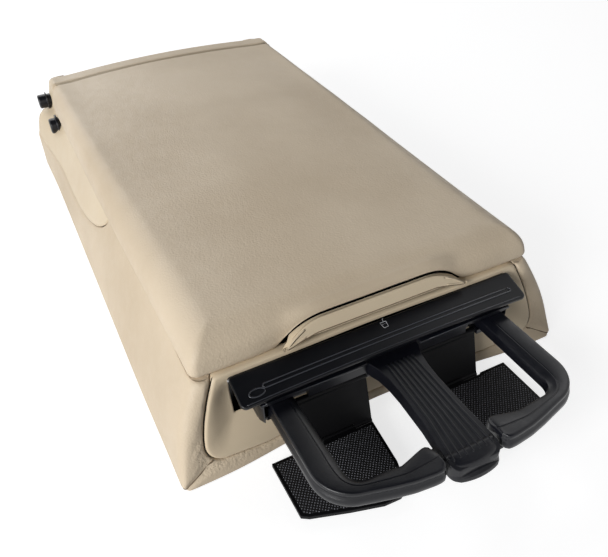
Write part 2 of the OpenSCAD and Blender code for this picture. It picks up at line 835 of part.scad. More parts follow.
// Flat link with a rolled knuckle at each end, the lower one open in the middle for the foot plate
module rest_link(side) {
    half_t = 1.2;
    top_r = 2.1;
    foot_r = 1.9;
    lug = 12;
    fall = atan2(plate_z - link_z, plate_y - link_y);
    top_gap = asin(half_t / top_r);
    foot_gap = asin(half_t / foot_r);
    profile = concat(
        arc(link_y, link_z, top_r, fall + top_gap, fall + 360 - top_gap, 16),
        arc(plate_y, plate_z, foot_r, fall + 180 + foot_gap, fall + 540 - foot_gap, 16)
    );
    color(black_plastic) place() sided(side) difference() {
        across(profile, [link_x0, link_x1]);
        block([link_x0 + lug, link_x1 - lug], [plate_y - 4, plate_y + 4], [plate_z - 3, plate_z + 2.9]);
        rod_x([10, 70], link_y, link_z, 1.2 + run);
        rod_x([10, 70], plate_y, plate_z, 0.9);
    }
}

module plate_pin(side) {
    color(steel) place() sided(side) rod_x([link_x0, link_x1], plate_y, plate_z, 0.9);
}

// Outline of a foot plate in X and Y, drawn in by inset
function foot_outline(inset) = [
    [17 + inset, -29.4 - inset], [19.5 + inset, -60], [24 + inset, -77 + inset], [30, -80 + inset],
    [40, -79.6 + inset], [58, -74.5 + inset], [79, -67.6 + inset], [83 - inset, -65 + inset * 0.5],
    [83 - inset, -28.4 - inset], [64 + inset, -28.4 - inset], [64 + inset, -29.4 - inset]
];

module rest_plate(side) {
    knuckle = [link_x0 + 12.3, link_x1 - 12.3];
    color(black_plastic) place() sided(side) difference() {
        union() {
            upward(foot_outline(0), [foot_z - 2.6, foot_z]);
            rod_x(knuckle, plate_y, plate_z, 1.9);
            block(knuckle, [-30, plate_y], [plate_z - 1.2, foot_z]);
        }
        rod_x([10, 90], plate_y, plate_z, 0.9 + run);
        upward(foot_outline(2), [foot_z - 0.4, foot_z + 1]);
    }
}

module rest_mat(side) {
    color(mesh_black) place() sided(side) upward(foot_outline(2), [foot_z - 0.4, foot_z + 0.5]);
}

module side_panel_left() { side_panel(-1); }
module side_panel_right() { side_panel(1); }
module pivot_bracket_left() { pivot_bracket(-1); }
module pivot_bracket_right() { pivot_bracket(1); }
module pivot_pin_left() { pivot_pin(-1); }
module pivot_pin_right() { pivot_pin(1); }
module guide_pin_left() { guide_pin(-1); }
module guide_pin_right() { guide_pin(1); }
module flap_pin_left() { flap_pin(-1); }
module flap_pin_right() { flap_pin(1); }
module arm_pin_left() { arm_pin(-1); }
module arm_pin_right() { arm_pin(1); }
module arm_spring_left() { arm_spring(-1); }
module arm_spring_right() { arm_spring(1); }
module arm_left() { cup_arm(-1); }
module arm_right() { cup_arm(1); }
module link_pin_left() { link_pin(-1); }
module link_pin_right() { link_pin(1); }
module rest_link_left() { rest_link(-1); }
module rest_link_right() { rest_link(1); }
module plate_pin_left() { plate_pin(-1); }
module plate_pin_right() { plate_pin(1); }
module rest_plate_left() { rest_plate(-1); }
module rest_plate_right() { rest_plate(1); }
module rest_mat_left() { rest_mat(-1); }
module rest_mat_right() { rest_mat(1); }

lower_cover();
tub();
bezel();
cup_housing();
front_shelf();
striker();
side_panel_left();
side_panel_right();
rear_strip();
rear_closure();
pivot_bracket_left();
pivot_bracket_right();
pivot_pin_left();
pivot_pin_right();
guide_pin_left();
guide_pin_right();
bracket_screws();
shelf_screws();
push_catch();
hinge_leaf_base();
lid_hinge_pin();
hinge_leaf_lid();
lid_board();
lid_pad();
lid_buffers();
latch_pin();
latch_spring();
latch_handle();
flap();
flap_pin_left();
flap_pin_right();
carriage();
centre_arm();
damper_body();
damper_gear();
arm_pin_left();
arm_pin_right();
arm_spring_left();
arm_spring_right();
arm_left();
arm_right();
link_pin_left();
link_pin_right();
rest_link_left();
rest_link_right();
plate_pin_left();
plate_pin_right();
rest_plate_left();
rest_plate_right();
rest_mat_left();
rest_mat_right();
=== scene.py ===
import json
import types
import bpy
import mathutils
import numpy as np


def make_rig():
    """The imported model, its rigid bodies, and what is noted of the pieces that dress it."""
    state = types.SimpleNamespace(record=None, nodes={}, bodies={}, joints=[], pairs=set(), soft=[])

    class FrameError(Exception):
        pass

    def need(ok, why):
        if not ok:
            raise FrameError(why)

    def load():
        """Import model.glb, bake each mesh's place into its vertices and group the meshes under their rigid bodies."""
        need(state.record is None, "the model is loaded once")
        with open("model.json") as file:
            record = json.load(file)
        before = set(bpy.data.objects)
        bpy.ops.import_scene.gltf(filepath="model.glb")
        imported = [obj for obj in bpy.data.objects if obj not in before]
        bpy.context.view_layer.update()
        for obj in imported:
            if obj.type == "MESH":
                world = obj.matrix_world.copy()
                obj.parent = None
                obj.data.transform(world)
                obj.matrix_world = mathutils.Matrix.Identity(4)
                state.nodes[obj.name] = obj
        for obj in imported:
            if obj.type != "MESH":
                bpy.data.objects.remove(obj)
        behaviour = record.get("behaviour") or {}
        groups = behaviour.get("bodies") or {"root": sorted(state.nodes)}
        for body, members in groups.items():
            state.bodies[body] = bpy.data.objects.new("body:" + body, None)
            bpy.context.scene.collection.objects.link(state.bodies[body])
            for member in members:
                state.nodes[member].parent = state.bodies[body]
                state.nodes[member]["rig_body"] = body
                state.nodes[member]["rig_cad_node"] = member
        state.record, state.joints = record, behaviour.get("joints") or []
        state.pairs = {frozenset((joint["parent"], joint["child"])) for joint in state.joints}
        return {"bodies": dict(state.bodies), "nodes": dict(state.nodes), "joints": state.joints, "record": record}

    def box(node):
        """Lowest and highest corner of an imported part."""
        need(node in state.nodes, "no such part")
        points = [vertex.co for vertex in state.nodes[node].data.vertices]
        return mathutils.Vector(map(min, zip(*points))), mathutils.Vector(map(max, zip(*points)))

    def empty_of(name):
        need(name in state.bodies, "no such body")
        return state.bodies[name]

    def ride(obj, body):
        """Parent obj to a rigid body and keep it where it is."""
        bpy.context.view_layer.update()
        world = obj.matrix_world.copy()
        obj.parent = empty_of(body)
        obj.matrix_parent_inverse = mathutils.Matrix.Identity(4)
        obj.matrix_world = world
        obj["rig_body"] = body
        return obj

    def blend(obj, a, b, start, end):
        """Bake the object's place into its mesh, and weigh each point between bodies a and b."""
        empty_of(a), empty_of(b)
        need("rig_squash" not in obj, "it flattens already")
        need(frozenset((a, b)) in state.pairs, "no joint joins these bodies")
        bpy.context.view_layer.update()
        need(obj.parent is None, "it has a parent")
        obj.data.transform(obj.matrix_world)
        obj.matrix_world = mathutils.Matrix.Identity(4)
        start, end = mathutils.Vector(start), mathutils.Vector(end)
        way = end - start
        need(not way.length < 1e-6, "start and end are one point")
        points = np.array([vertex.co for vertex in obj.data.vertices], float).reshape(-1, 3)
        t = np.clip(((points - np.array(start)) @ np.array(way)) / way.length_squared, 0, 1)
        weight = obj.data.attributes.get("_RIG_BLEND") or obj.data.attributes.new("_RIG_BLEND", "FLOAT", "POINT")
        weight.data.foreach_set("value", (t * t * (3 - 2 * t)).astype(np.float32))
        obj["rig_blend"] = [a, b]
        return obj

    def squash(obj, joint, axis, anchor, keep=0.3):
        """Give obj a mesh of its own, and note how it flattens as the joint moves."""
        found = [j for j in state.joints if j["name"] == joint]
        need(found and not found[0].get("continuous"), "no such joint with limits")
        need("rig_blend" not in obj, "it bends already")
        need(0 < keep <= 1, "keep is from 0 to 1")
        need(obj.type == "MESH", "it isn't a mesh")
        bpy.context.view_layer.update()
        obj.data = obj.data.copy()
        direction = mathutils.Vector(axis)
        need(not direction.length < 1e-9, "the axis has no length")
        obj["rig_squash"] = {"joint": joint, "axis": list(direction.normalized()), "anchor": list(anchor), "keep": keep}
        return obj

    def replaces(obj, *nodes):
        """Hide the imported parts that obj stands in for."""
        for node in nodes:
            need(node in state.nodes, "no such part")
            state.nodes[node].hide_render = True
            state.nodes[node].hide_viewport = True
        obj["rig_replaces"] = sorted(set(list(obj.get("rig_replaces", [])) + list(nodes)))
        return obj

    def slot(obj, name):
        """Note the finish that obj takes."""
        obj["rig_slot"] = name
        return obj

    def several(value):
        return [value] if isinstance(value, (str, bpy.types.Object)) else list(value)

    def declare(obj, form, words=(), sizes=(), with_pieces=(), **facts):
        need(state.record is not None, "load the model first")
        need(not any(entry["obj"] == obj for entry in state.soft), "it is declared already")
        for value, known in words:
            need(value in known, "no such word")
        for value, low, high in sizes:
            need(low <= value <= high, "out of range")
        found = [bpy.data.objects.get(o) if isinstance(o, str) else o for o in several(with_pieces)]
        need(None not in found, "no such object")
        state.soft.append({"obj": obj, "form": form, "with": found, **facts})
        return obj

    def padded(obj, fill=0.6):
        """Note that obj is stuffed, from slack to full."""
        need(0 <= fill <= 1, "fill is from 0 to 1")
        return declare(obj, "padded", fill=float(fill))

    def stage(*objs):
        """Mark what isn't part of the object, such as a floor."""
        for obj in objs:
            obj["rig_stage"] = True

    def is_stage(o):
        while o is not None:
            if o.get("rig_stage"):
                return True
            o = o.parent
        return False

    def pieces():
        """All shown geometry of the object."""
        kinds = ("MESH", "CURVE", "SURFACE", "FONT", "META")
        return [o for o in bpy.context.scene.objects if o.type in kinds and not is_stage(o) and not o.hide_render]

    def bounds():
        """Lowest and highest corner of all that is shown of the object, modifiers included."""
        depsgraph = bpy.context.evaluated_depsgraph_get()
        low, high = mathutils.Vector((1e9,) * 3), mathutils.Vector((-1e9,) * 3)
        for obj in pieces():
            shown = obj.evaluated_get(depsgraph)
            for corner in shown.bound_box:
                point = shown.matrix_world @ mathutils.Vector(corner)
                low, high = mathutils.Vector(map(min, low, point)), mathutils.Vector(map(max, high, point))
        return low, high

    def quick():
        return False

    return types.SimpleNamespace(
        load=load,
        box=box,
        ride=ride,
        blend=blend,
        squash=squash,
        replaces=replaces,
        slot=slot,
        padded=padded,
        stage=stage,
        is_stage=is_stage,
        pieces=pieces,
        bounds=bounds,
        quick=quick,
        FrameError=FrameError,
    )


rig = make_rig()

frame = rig.load()

import json
import logging
import math
from dataclasses import dataclass
from enum import Enum
from typing import Callable, Sequence

import bpy
from mathutils import Matrix, Vector, noise

"""Looks of a fold-down rear-seat armrest with a leather lid and a slide-out cup holder.

Sizes are in millimetres, measured as on a drawing of the armrest: x to the right, y back
from the lid's front edge and z up from the underside. Drawing.at turns them into metres.
"""

MM = 0.001
LOG = logging.getLogger("armrest")
Pair = tuple[float, float]
Tone = tuple[float, float, float]


class Drawing:
    """Places drawing millimetres in the CAD frame."""

    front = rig.box("lid_pad")[0].y

    @classmethod
    def at(cls, x: float, y: float, z: float) -> Vector:
        """Returns the point of the CAD frame, in metres, for drawing millimetres.

        Args:
            x: Distance to the right of the middle.
            y: Distance behind the lid's front edge.
            z: Height above the underside.

        Returns:
            The point in the row frame.
        """
        return Vector((x * MM, cls.front + y * MM, z * MM))


def tone(red: float, green: float, blue: float) -> tuple[float, float, float, float]:
    """Returns the linear colour for a colour picked on screen.

    Args:
        red: Red from 0 to 255.
        green: Green from 0 to 255.
        blue: Blue from 0 to 255.

    Returns:
        Linear red, green, blue and full opacity.
    """
    linear = [pow(part / 255, 2.2) for part in (red, green, blue)]
    return (linear[0], linear[1], linear[2], 1.0)


def smooth(value: float, low: float = 0.0, high: float = 1.0) -> float:
    """Returns 0 below low, 1 above high and a soft ramp in between.

    Args:
        value: Value to place on the ramp.
        low: Start of the ramp.
        high: End of the ramp.

    Returns:
        The height of the ramp.
    """
    share = min(1.0, max(0.0, (value - low) / (high - low)))
    return share * share * (3 - 2 * share)


def arc(centre: Pair, radius: float, start: float, end: float, steps: int) -> list[Pair]:
    """Returns points of an arc.

    Args:
        centre: Centre of the arc.
        radius: Radius of the arc.
        start: First angle in degrees.
        end: Last angle in degrees.
        steps: Number of pieces that the arc is split into.

    Returns:
        The arc's points, both ends included.
    """
    angles = [math.radians(start + (end - start) * i / steps) for i in range(steps + 1)]
    return [(centre[0] + radius * math.cos(a), centre[1] + radius * math.sin(a)) for a in angles]


def spread(points: Sequence[Pair], count: int) -> list[Pair]:
    """Returns evenly spaced points along an open line.

    Args:
        points: Corners of the line.
        count: How many points come back, both ends included.

    Returns:
        The evenly spaced points.
    """
    lengths = [0.0]
    for a, b in zip(points, points[1:]):
        lengths.append(lengths[-1] + math.dist(a, b))
    result = []
    for i in range(count):
        target = lengths[-1] * i / (count - 1)
        k = next((n for n in range(1, len(lengths)) if lengths[n] >= target - 1e-9), len(lengths) - 1)
        part = (target - lengths[k - 1]) / max(lengths[k] - lengths[k - 1], 1e-9)
        a, b = points[k - 1], points[k]
        result.append((a[0] + (b[0] - a[0]) * part, a[1] + (b[1] - a[1]) * part))
    return result


class Bench:
    """Wires the nodes of one material."""

    def __init__(self, name: str) -> None:
        """Starts an empty material.

        Args:
            name: Name of the finish.
        """
        self.material = bpy.data.materials.new(name)
        self.material.use_nodes = True
        self.tree = self.material.node_tree
        self.tree.nodes.clear()
        self.output = self.tree.nodes.new("ShaderNodeOutputMaterial")
        self.shader = self.tree.nodes.new("ShaderNodeBsdfPrincipled")
        self.join(self.shader.outputs[0], self.output.inputs["Surface"])
        self.place = self.tree.nodes.new("ShaderNodeTexCoord").outputs["Object"]

    def join(self, source: bpy.types.NodeSocket, target: bpy.types.NodeSocket) -> None:
        """Links one socket to another."""
        self.tree.links.new(source, target)

    def node(self, kind: str, **values: object) -> bpy.types.Node:
        """Adds a node and sets its properties and inputs.

        Args:
            kind: Blender's name of the node.
            **values: Properties, or inputs by name, with links where a socket is given.

        Returns:
            The node.
        """
        made = self.tree.nodes.new(kind)
        for key, value in values.items():
            if key in made.inputs:
                if isinstance(value, bpy.types.NodeSocket):
                    self.join(value, made.inputs[key])
                else:
                    made.inputs[key].default_value = value
            else:
                setattr(made, key, value)
        return made

    def noise(self, scale: float, detail: float = 2.0, roughness: float = 0.5) -> bpy.types.NodeSocket:
        """Adds a noise pattern placed on the object.

        Args:
            scale: Grains per metre.
            detail: Number of finer layers.
            roughness: Strength of the finer layers.

        Returns:
            The pattern's value.
        """
        made = self.node("ShaderNodeTexNoise", Vector=self.place, Scale=scale, Detail=detail,
                         Roughness=roughness)
        return made.outputs[0]

    def cells(self, scale: float, feature: str = "SMOOTH_F1") -> bpy.types.NodeSocket:
        """Adds a pattern of cells, such as leather pebbles.

        Args:
            scale: Cells per metre.
            feature: Which distance the pattern gives.

        Returns:
            The distance to the cell.
        """
        made = self.node("ShaderNodeTexVoronoi", feature=feature, Vector=self.place, Scale=scale)
        return made.outputs["Distance"]

    def ramp(self, value: bpy.types.NodeSocket, low: float, high: float,
             start: float = 0.0, end: float = 1.0) -> bpy.types.NodeSocket:
        """Maps a value from one range to another, clamped.

        Args:
            value: Value to map.
            low: Value that becomes start.
            high: Value that becomes end.
            start: Result at low.
            end: Result at high.

        Returns:
            The mapped value.
        """
        made = self.node("ShaderNodeMapRange")
        self.join(value, made.inputs[0])
        for index, number in enumerate((low, high, start, end), 1):
            made.inputs[index].default_value = number
        return made.outputs[0]

    def blend(self, share: bpy.types.NodeSocket, dark: tuple, light: tuple) -> bpy.types.NodeSocket:
        """Mixes two colours.

        Args:
            share: Share of the light colour.
            dark: Colour at 0.
            light: Colour at 1.

        Returns:
            The mixed colour.
        """
        made = self.tree.nodes.new("ShaderNodeMix")
        made.data_type = "RGBA"
        self.join(share, made.inputs[0])
        made.inputs[6].default_value = dark
        made.inputs[7].default_value = light
        return made.outputs[2]

    def bump(self, height: bpy.types.NodeSocket, strength: float, depth: float,
             under: bpy.types.NodeSocket | None = None) -> bpy.types.NodeSocket:
        """Turns a height pattern into a surface normal.

        Args:
            height: The height pattern.
            strength: Share of the effect.
            depth: Depth in metres.
            under: Normal of a coarser pattern below this one.

        Returns:
            The normal.
        """
        made = self.node("ShaderNodeBump", Strength=strength, Distance=depth, Height=height)
        if under is not None:
            self.join(under, made.inputs["Normal"])
        return made.outputs[0]

    def dress(self, **inputs: object) -> bpy.types.Material:
        """Sets the shader's inputs and returns the material.

        Args:
            **inputs: Inputs of the shader, with spaces written as underscores.

        Returns:
            The finished material.
        """
        for key, value in inputs.items():
            socket = self.shader.inputs[key.replace("_", " ")]
            if isinstance(value, bpy.types.NodeSocket):
                self.join(value, socket)
            else:
                socket.default_value = value
        return self.material


@dataclass(frozen=True)
class Leather:
    """Fine-grained coated leather."""

    name: str = "beige leather"
    light: Tone = (214, 197, 172)
    dark: Tone = (200, 182, 156)
    pebbles: float = 820.0
    depth: float = 0.00022

    def make(self) -> bpy.types.Material:
        """Builds the leather material."""
        b = Bench(self.name)
        pebble = b.cells(self.pebbles)
        pore = b.cells(self.pebbles * 2.1, "F1")
        clouds = b.ramp(b.noise(9.0, 3.0), 0.35, 0.65)
        colour = b.blend(clouds, tone(*self.dark), tone(*self.light))
        pores = b.ramp(pore, 0.0, 0.28, 0.86, 1.0)
        shaded = b.node("ShaderNodeMix", data_type="RGBA", blend_type="MULTIPLY")
        shaded.inputs[0].default_value = 0.5
        b.join(colour, shaded.inputs[6])
        b.join(pores, shaded.inputs[7])
        folds = b.bump(b.noise(70.0, 3.0, 0.6), 0.25, 0.0009)
        skin = b.bump(pebble, 0.55, self.depth, folds)
        fine = b.bump(pore, 0.35, self.depth * 0.5, skin)
        rough = b.ramp(b.noise(160.0, 2.0), 0.3, 0.7, 0.48, 0.62)
        mask = b.node("ShaderNodeAttribute", attribute_name="pucker")
        puckers = b.node("ShaderNodeMath", operation="MULTIPLY")
        b.join(mask.outputs["Fac"], puckers.inputs[0])
        b.join(b.noise(430.0, 2.0, 0.6), puckers.inputs[1])
        fine = b.bump(puckers.outputs[0], 1.0, 0.0007, fine)
        return b.dress(Base_Color=shaded.outputs[2], Roughness=rough, Normal=fine,
                       Specular_IOR_Level=0.38, Sheen_Weight=0.06, Sheen_Roughness=0.5)


@dataclass(frozen=True)
class Moulding:
    """Moulded plastic with a spark-eroded grain."""

    name: str
    light: Tone
    dark: Tone
    grain: float = 1500.0
    depth: float = 0.00006
    rough: Pair = (0.42, 0.55)
    specular: float = 0.42

    def make(self) -> bpy.types.Material:
        """Builds the plastic material."""
        b = Bench(self.name)
        clouds = b.ramp(b.noise(14.0, 3.0), 0.35, 0.65)
        colour = b.blend(clouds, tone(*self.dark), tone(*self.light))
        grain = b.bump(b.noise(self.grain, 2.0, 0.7), 0.5, self.depth)
        scuffs = b.ramp(b.noise(90.0, 4.0, 0.7), 0.4, 0.75, self.rough[0], self.rough[1])
        return b.dress(Base_Color=colour, Roughness=scuffs, Normal=grain, Specular_IOR_Level=self.specular)


@dataclass(frozen=True)
class WovenMat:
    """Black anti-slip mat with a raised woven mesh."""

    name: str = "woven mat"
    yarn: Tone = (128, 129, 136)
    gap: Tone = (10, 10, 11)
    pitch: float = 0.00155

    def make(self) -> bpy.types.Material:
        """Builds the mat material."""
        b = Bench(self.name)
        turned = b.node("ShaderNodeMapping", Vector=b.place)
        turned.inputs["Rotation"].default_value = (0.0, 0.0, math.radians(38))
        scale = 1.0 / self.pitch / 20.0 * 2.0 * math.pi
        waves = []
        for direction in ("X", "Y"):
            wave = b.node("ShaderNodeTexWave", wave_type="BANDS", bands_direction=direction, Scale=scale)
            b.join(turned.outputs[0], wave.inputs["Vector"])
            waves.append(wave.outputs["Fac"])
        weave = b.node("ShaderNodeMath", operation="MULTIPLY")
        b.join(waves[0], weave.inputs[0])
        b.join(waves[1], weave.inputs[1])
        knots = b.ramp(weave.outputs[0], 0.35, 0.8)
        colour = b.blend(knots, tone(*self.gap), tone(*self.yarn))
        return b.dress(Base_Color=colour, Roughness=b.ramp(knots, 0.0, 1.0, 0.8, 0.55),
                       Normal=b.bump(knots, 0.8, 0.0005), Specular_IOR_Level=0.3)


@dataclass(frozen=True)
class Metal:
    """Plain metal with faint wear."""

    name: str
    light: Tone
    dark: Tone
    rough: Pair = (0.25, 0.45)

    def make(self) -> bpy.types.Material:
        """Builds the metal material."""
        b = Bench(self.name)
        wear = b.ramp(b.noise(220.0, 4.0, 0.7), 0.3, 0.7)
        colour = b.blend(wear, tone(*self.dark), tone(*self.light))
        rough = b.ramp(b.noise(340.0, 2.0), 0.3, 0.7, self.rough[0], self.rough[1])
        return b.dress(Base_Color=colour, Roughness=rough, Metallic=1.0,
                       Normal=b.bump(b.noise(900.0, 2.0), 0.3, 0.00004))


class Finish(Enum):
    """The finishes of the armrest."""

    LEATHER = Leather()
    SEAM = Leather("seam leather", (176, 160, 136), (156, 140, 116), 820.0, 0.0001)
    # Painted shade: leather darkened for the sewn corner seams, which are real dark joints, and for the shadow line
    # under the handle.
    CREASE = Leather("painted crease shade leather", (112, 96, 74), (96, 80, 60), 820.0, 0.0001)
    PANEL = Moulding("beige plastic", (215, 198, 170), (208, 190, 162))
    BLACK = Moulding("black plastic", (19, 20, 26), (14, 15, 20), 1300.0, 0.00006, (0.32, 0.44), 0.42)
    MATT = Moulding("matt black plastic", (15, 15, 17), (11, 11, 13), 1300.0, 0.00008, (0.5, 0.6), 0.14)
    SATIN = Moulding("satin black plastic", (22, 23, 26), (17, 18, 20), 1700.0, 0.00004, (0.34, 0.46), 0.3)
    FLAP = Moulding("flap plastic", (19, 20, 24), (14, 15, 18), 1700.0, 0.00004, (0.34, 0.44), 0.3)
    # Painted highlight: glossy black plastic painted much lighter than the flap and the arms, for the flap's bead, oval
    # and lip and for the brow edges.
    GLOSS = Moulding("glossy plastic with painted highlight", (58, 60, 66), (44, 46, 51), 900.0, 0.00002, (0.16, 0.24), 0.5)
    # Painted shade: a near-black, sheenless finish for pieces set in gaps and recesses where only shade falls.
    SHADE = Moulding("painted recess shade", (10, 9, 9), (7, 6, 6), 1500.0, 0.00004, (0.8, 0.9), 0.02)
    GEAR = Moulding("gear plastic", (212, 206, 192), (196, 190, 176))
    RUBBER = Moulding("buffer rubber", (34, 34, 34), (24, 24, 24), 700.0, 0.0001, (0.7, 0.85), 0.25)
    MAT = WovenMat()
    STEEL = Metal("steel", (176, 178, 182), (140, 142, 146))
    SIGN = Moulding("pale print", (196, 198, 202), (180, 182, 186))

    def material(self) -> bpy.types.Material:
        """Returns the finish's material, made once."""
        return bpy.data.materials.get(self.value.name) or self.value.make()


class Sheetwork:
    """Makes and dresses meshes."""

    @staticmethod
    def mesh(name: str, points: Sequence[Vector], faces: Sequence[Sequence[int]],
             finish: Finish) -> bpy.types.Object:
        """Makes a smooth mesh object with its finish.

        Args:
            name: Name of the piece.
            points: Its points in the CAD frame.
            faces: Its faces as point numbers.
            finish: Its finish.

        Returns:
            The object.
        """
        data = bpy.data.meshes.new(name)
        data.from_pydata([tuple(p) for p in points], [], [tuple(f) for f in faces])
        data.polygons.foreach_set("use_smooth", [True] * len(data.polygons))
        data.update()
        piece = bpy.data.objects.new(name, data)
        bpy.context.scene.collection.objects.link(piece)
        data.materials.append(finish.material())
        return piece

    @classmethod
    def lattice(cls, name: str, rows: Sequence[Sequence[Vector]], finish: Finish,
                ring: bool = False, flip: bool = False, caps: bool = False) -> bpy.types.Object:
        """Makes a surface from rows of points.

        Args:
            name: Name of the piece.
            rows: Rows of points, all of one length.
            finish: Its finish.
            ring: Whether each row closes on itself.
            flip: Whether the faces turn round.
            caps: Whether the first and last row are filled.

        Returns:
            The object.
        """
        width = len(rows[0])
        faces = []
        for i in range(len(rows) - 1):
            for j in range(width if ring else width - 1):
                k = (j + 1) % width
                quad = (i * width + j, i * width + k, (i + 1) * width + k, (i + 1) * width + j)
                faces.append(quad[::-1] if flip else quad)
        if caps:
            first, last = tuple(range(width)), tuple(range((len(rows) - 1) * width, len(rows) * width))
            faces += [first, last[::-1]] if flip else [first[::-1], last]
        return cls.mesh(name, [p for row in rows for p in row], faces, finish)

    @classmethod
    def tube(cls, name: str, path: Sequence[Vector], radius: float, finish: Finish,
             sides: int = 8) -> bpy.types.Object:
        """Makes a round bead along a path.

        Args:
            name: Name of the piece.
            path: Points in the CAD frame.
            radius: Radius of the bead in millimetres.
            finish: Its finish.
            sides: Number of sides of the bead.

        Returns:
            The object.
        """
        rows = []
        for i, point in enumerate(path):
            ahead = path[min(i + 1, len(path) - 1)] - path[max(i - 1, 0)]
            along = ahead.normalized()
            side = along.cross(Vector((0, 0, 1)))
            if side.length < 0.1:
                side = along.cross(Vector((0, 1, 0)))
            side.normalize()
            up = side.cross(along)
            size = radius * MM * (0.35 if i in (0, len(path) - 1) else 1.0)
            turns = [2 * math.pi * k / sides for k in range(sides)]
            rows.append([point + (side * math.cos(a) + up * math.sin(a)) * size for a in turns])
        return cls.lattice(name, rows, finish, ring=True, caps=True)

    @staticmethod
    def soften(piece: bpy.types.Object, bevel: float = 0.0, steps: int = 2, levels: int = 0,
               shell: float = 0.0, angle: float = 35.0) -> bpy.types.Object:
        """Gives a piece thickness, rounded edges and a finer surface.

        Args:
            piece: The piece.
            bevel: Width of the rounded edges in millimetres.
            steps: Segments of each rounded edge.
            levels: Subdivision levels.
            shell: Thickness to the inside in millimetres.
            angle: Smallest edge angle that is rounded.

        Returns:
            The same piece.
        """
        if shell:
            wall = piece.modifiers.new("wall", "SOLIDIFY")
            wall.thickness = shell * MM
            wall.offset = -1.0
        if bevel:
            edge = piece.modifiers.new("edge", "BEVEL")
            edge.width = bevel * MM
            edge.segments = steps
            edge.limit_method = "ANGLE"
            edge.angle_limit = math.radians(angle)
            edge.harden_normals = False
        if levels:
            fine = piece.modifiers.new("fine", "SUBSURF")
            fine.levels = levels
            fine.render_levels = levels
        return piece

    @staticmethod
    def node(name: str, finish: Finish, bevel: float = 0.3, angle: float = 32.0) -> None:
        """Dresses a CAD node that stays in sight.

        Args:
            name: The CAD node.
            finish: Its finish.
            bevel: Width of its rounded edges in millimetres.
            angle: Smallest edge angle that is rounded.
        """
        piece = frame["nodes"][name]
        piece.data.materials.clear()
        piece.data.materials.append(finish.material())
        if piece.data.has_custom_normals:
            bpy.context.view_layer.objects.active = piece
            bpy.ops.mesh.customdata_custom_splitnormals_clear()
        piece.data.polygons.foreach_set("use_smooth", [True] * len(piece.data.polygons))
        weld = piece.modifiers.new("weld", "WELD")
        weld.merge_threshold = 0.00001
        flat = piece.modifiers.new("flat", "DECIMATE")
        flat.decimate_type = "DISSOLVE"
        flat.angle_limit = math.radians(1.0)
        if bevel:
            edge = piece.modifiers.new("edge", "BEVEL")
            edge.width = bevel * MM
            edge.segments = 2
            edge.limit_method = "ANGLE"
            edge.angle_limit = math.radians(angle)
            edge.use_clamp_overlap = True
        even = piece.modifiers.new("even", "WEIGHTED_NORMAL")
        even.keep_sharp = False
        LOG.info("dressed CAD node %s", name)


@dataclass
class BodyForm:
    """The outer form that the leather body, the side panels and the bezel share."""

    belt_z: float = 61.8
    belt_half: float = 110.5
    flare: float = 24.4
    puff: float = 2.2
    front_belt: float = 2.4
    front_flare: float = -3.9
    front_puff: float = 2.4
    lean: float = 0.252
    dish: float = 8.0
    dish_half: float = 96.0
    rear: float = 428.0
    rear_half: float = 135.8
    neck_half: float = 114.5
    neck_top_half: float = 111.6
    neck_top: float = 84.2
    swell_z: float = 30.0
    swell_y: float = 330.0
    panel_front: float = 187.0
    panel_level: float = 293.0
    panel_low: float = 27.3

    def plain_x(self, y: float, z: float) -> float:
        """Returns the half width without the swollen rear end, which is fuller near the front.

        Args:
            y: Distance behind the lid's front edge.
            z: Height above the underside.

        Returns:
            Half width in millimetres.
        """
        share = max(0.0, min(1.0, z / 63))
        near = 1 - smooth(y, -10, 75)
        belt = self.belt_half + self.front_belt * near
        flare = self.flare + self.front_flare * near
        return belt + flare * (1 - share) + (self.puff + self.front_puff * near) * math.sin(math.pi * share)

    def rear_x(self, z: float) -> float:
        """Returns the half width of the rear end at height z."""
        rise = min(1.0, max(0.0, (z - self.swell_z) / 33.6))
        wide = self.neck_half + (self.rear_half - self.neck_half) * math.sqrt(1 - rise * rise)
        neck = 118.3 - (118.3 - self.neck_top_half) * max(0.0, (z - 63) / (self.neck_top - 63)) ** 1.15
        blend = smooth(z, 54, 62)
        return wide * (1 - blend) + neck * blend

    def side_x(self, y: float, z: float) -> float:
        """Returns the half width of the body.

        Args:
            y: Distance behind the lid's front edge.
            z: Height above the underside.

        Returns:
            Half width in millimetres.
        """
        start = self.swell_y + 45 * smooth(z, 45, 62)
        share = min(1.0, max(0.0, (y - start) / (self.rear - start))) ** 2
        plain = self.plain_x(y, z)
        return plain + (self.rear_x(z) - plain) * share

    def front_y(self, x: float, z: float) -> float:
        """Returns where the leaning, dished front face is.

        Args:
            x: Distance from the middle.
            z: Height above the underside.

        Returns:
            The face's y in millimetres.
        """
        plain = -3 - self.lean * (63 - z)
        radius = (self.dish_half ** 2 + self.dish ** 2) / (2 * self.dish)
        low = -3 - self.lean * 63 + self.dish
        middle = low + (-3 - low) * z / 63
        hollow = middle - (radius - math.sqrt(max(1.0, radius ** 2 - x ** 2)))
        edge = 1.5
        rise = (plain - hollow) / edge
        if abs(rise) > 30:
            return max(plain, hollow)
        return hollow + edge * math.log(1 + math.exp(rise))

    def panel_edge(self, y: float) -> float:
        """Returns the height of the side panel's lower edge.

        Args:
            y: Distance behind the lid's front edge.

        Returns:
            The height in millimetres, or the belt's height in front of the panel.
        """
        if y <= self.panel_front:
            return self.belt_z
        if y < self.panel_level:
            part = (self.panel_level - y) / (self.panel_level - self.panel_front)
            return 62 - (62 - self.panel_low) * math.sqrt(max(0.0, 1 - part * part))
        return self.panel_low + 14.5 * smooth(y, 388, 450) ** 1.3


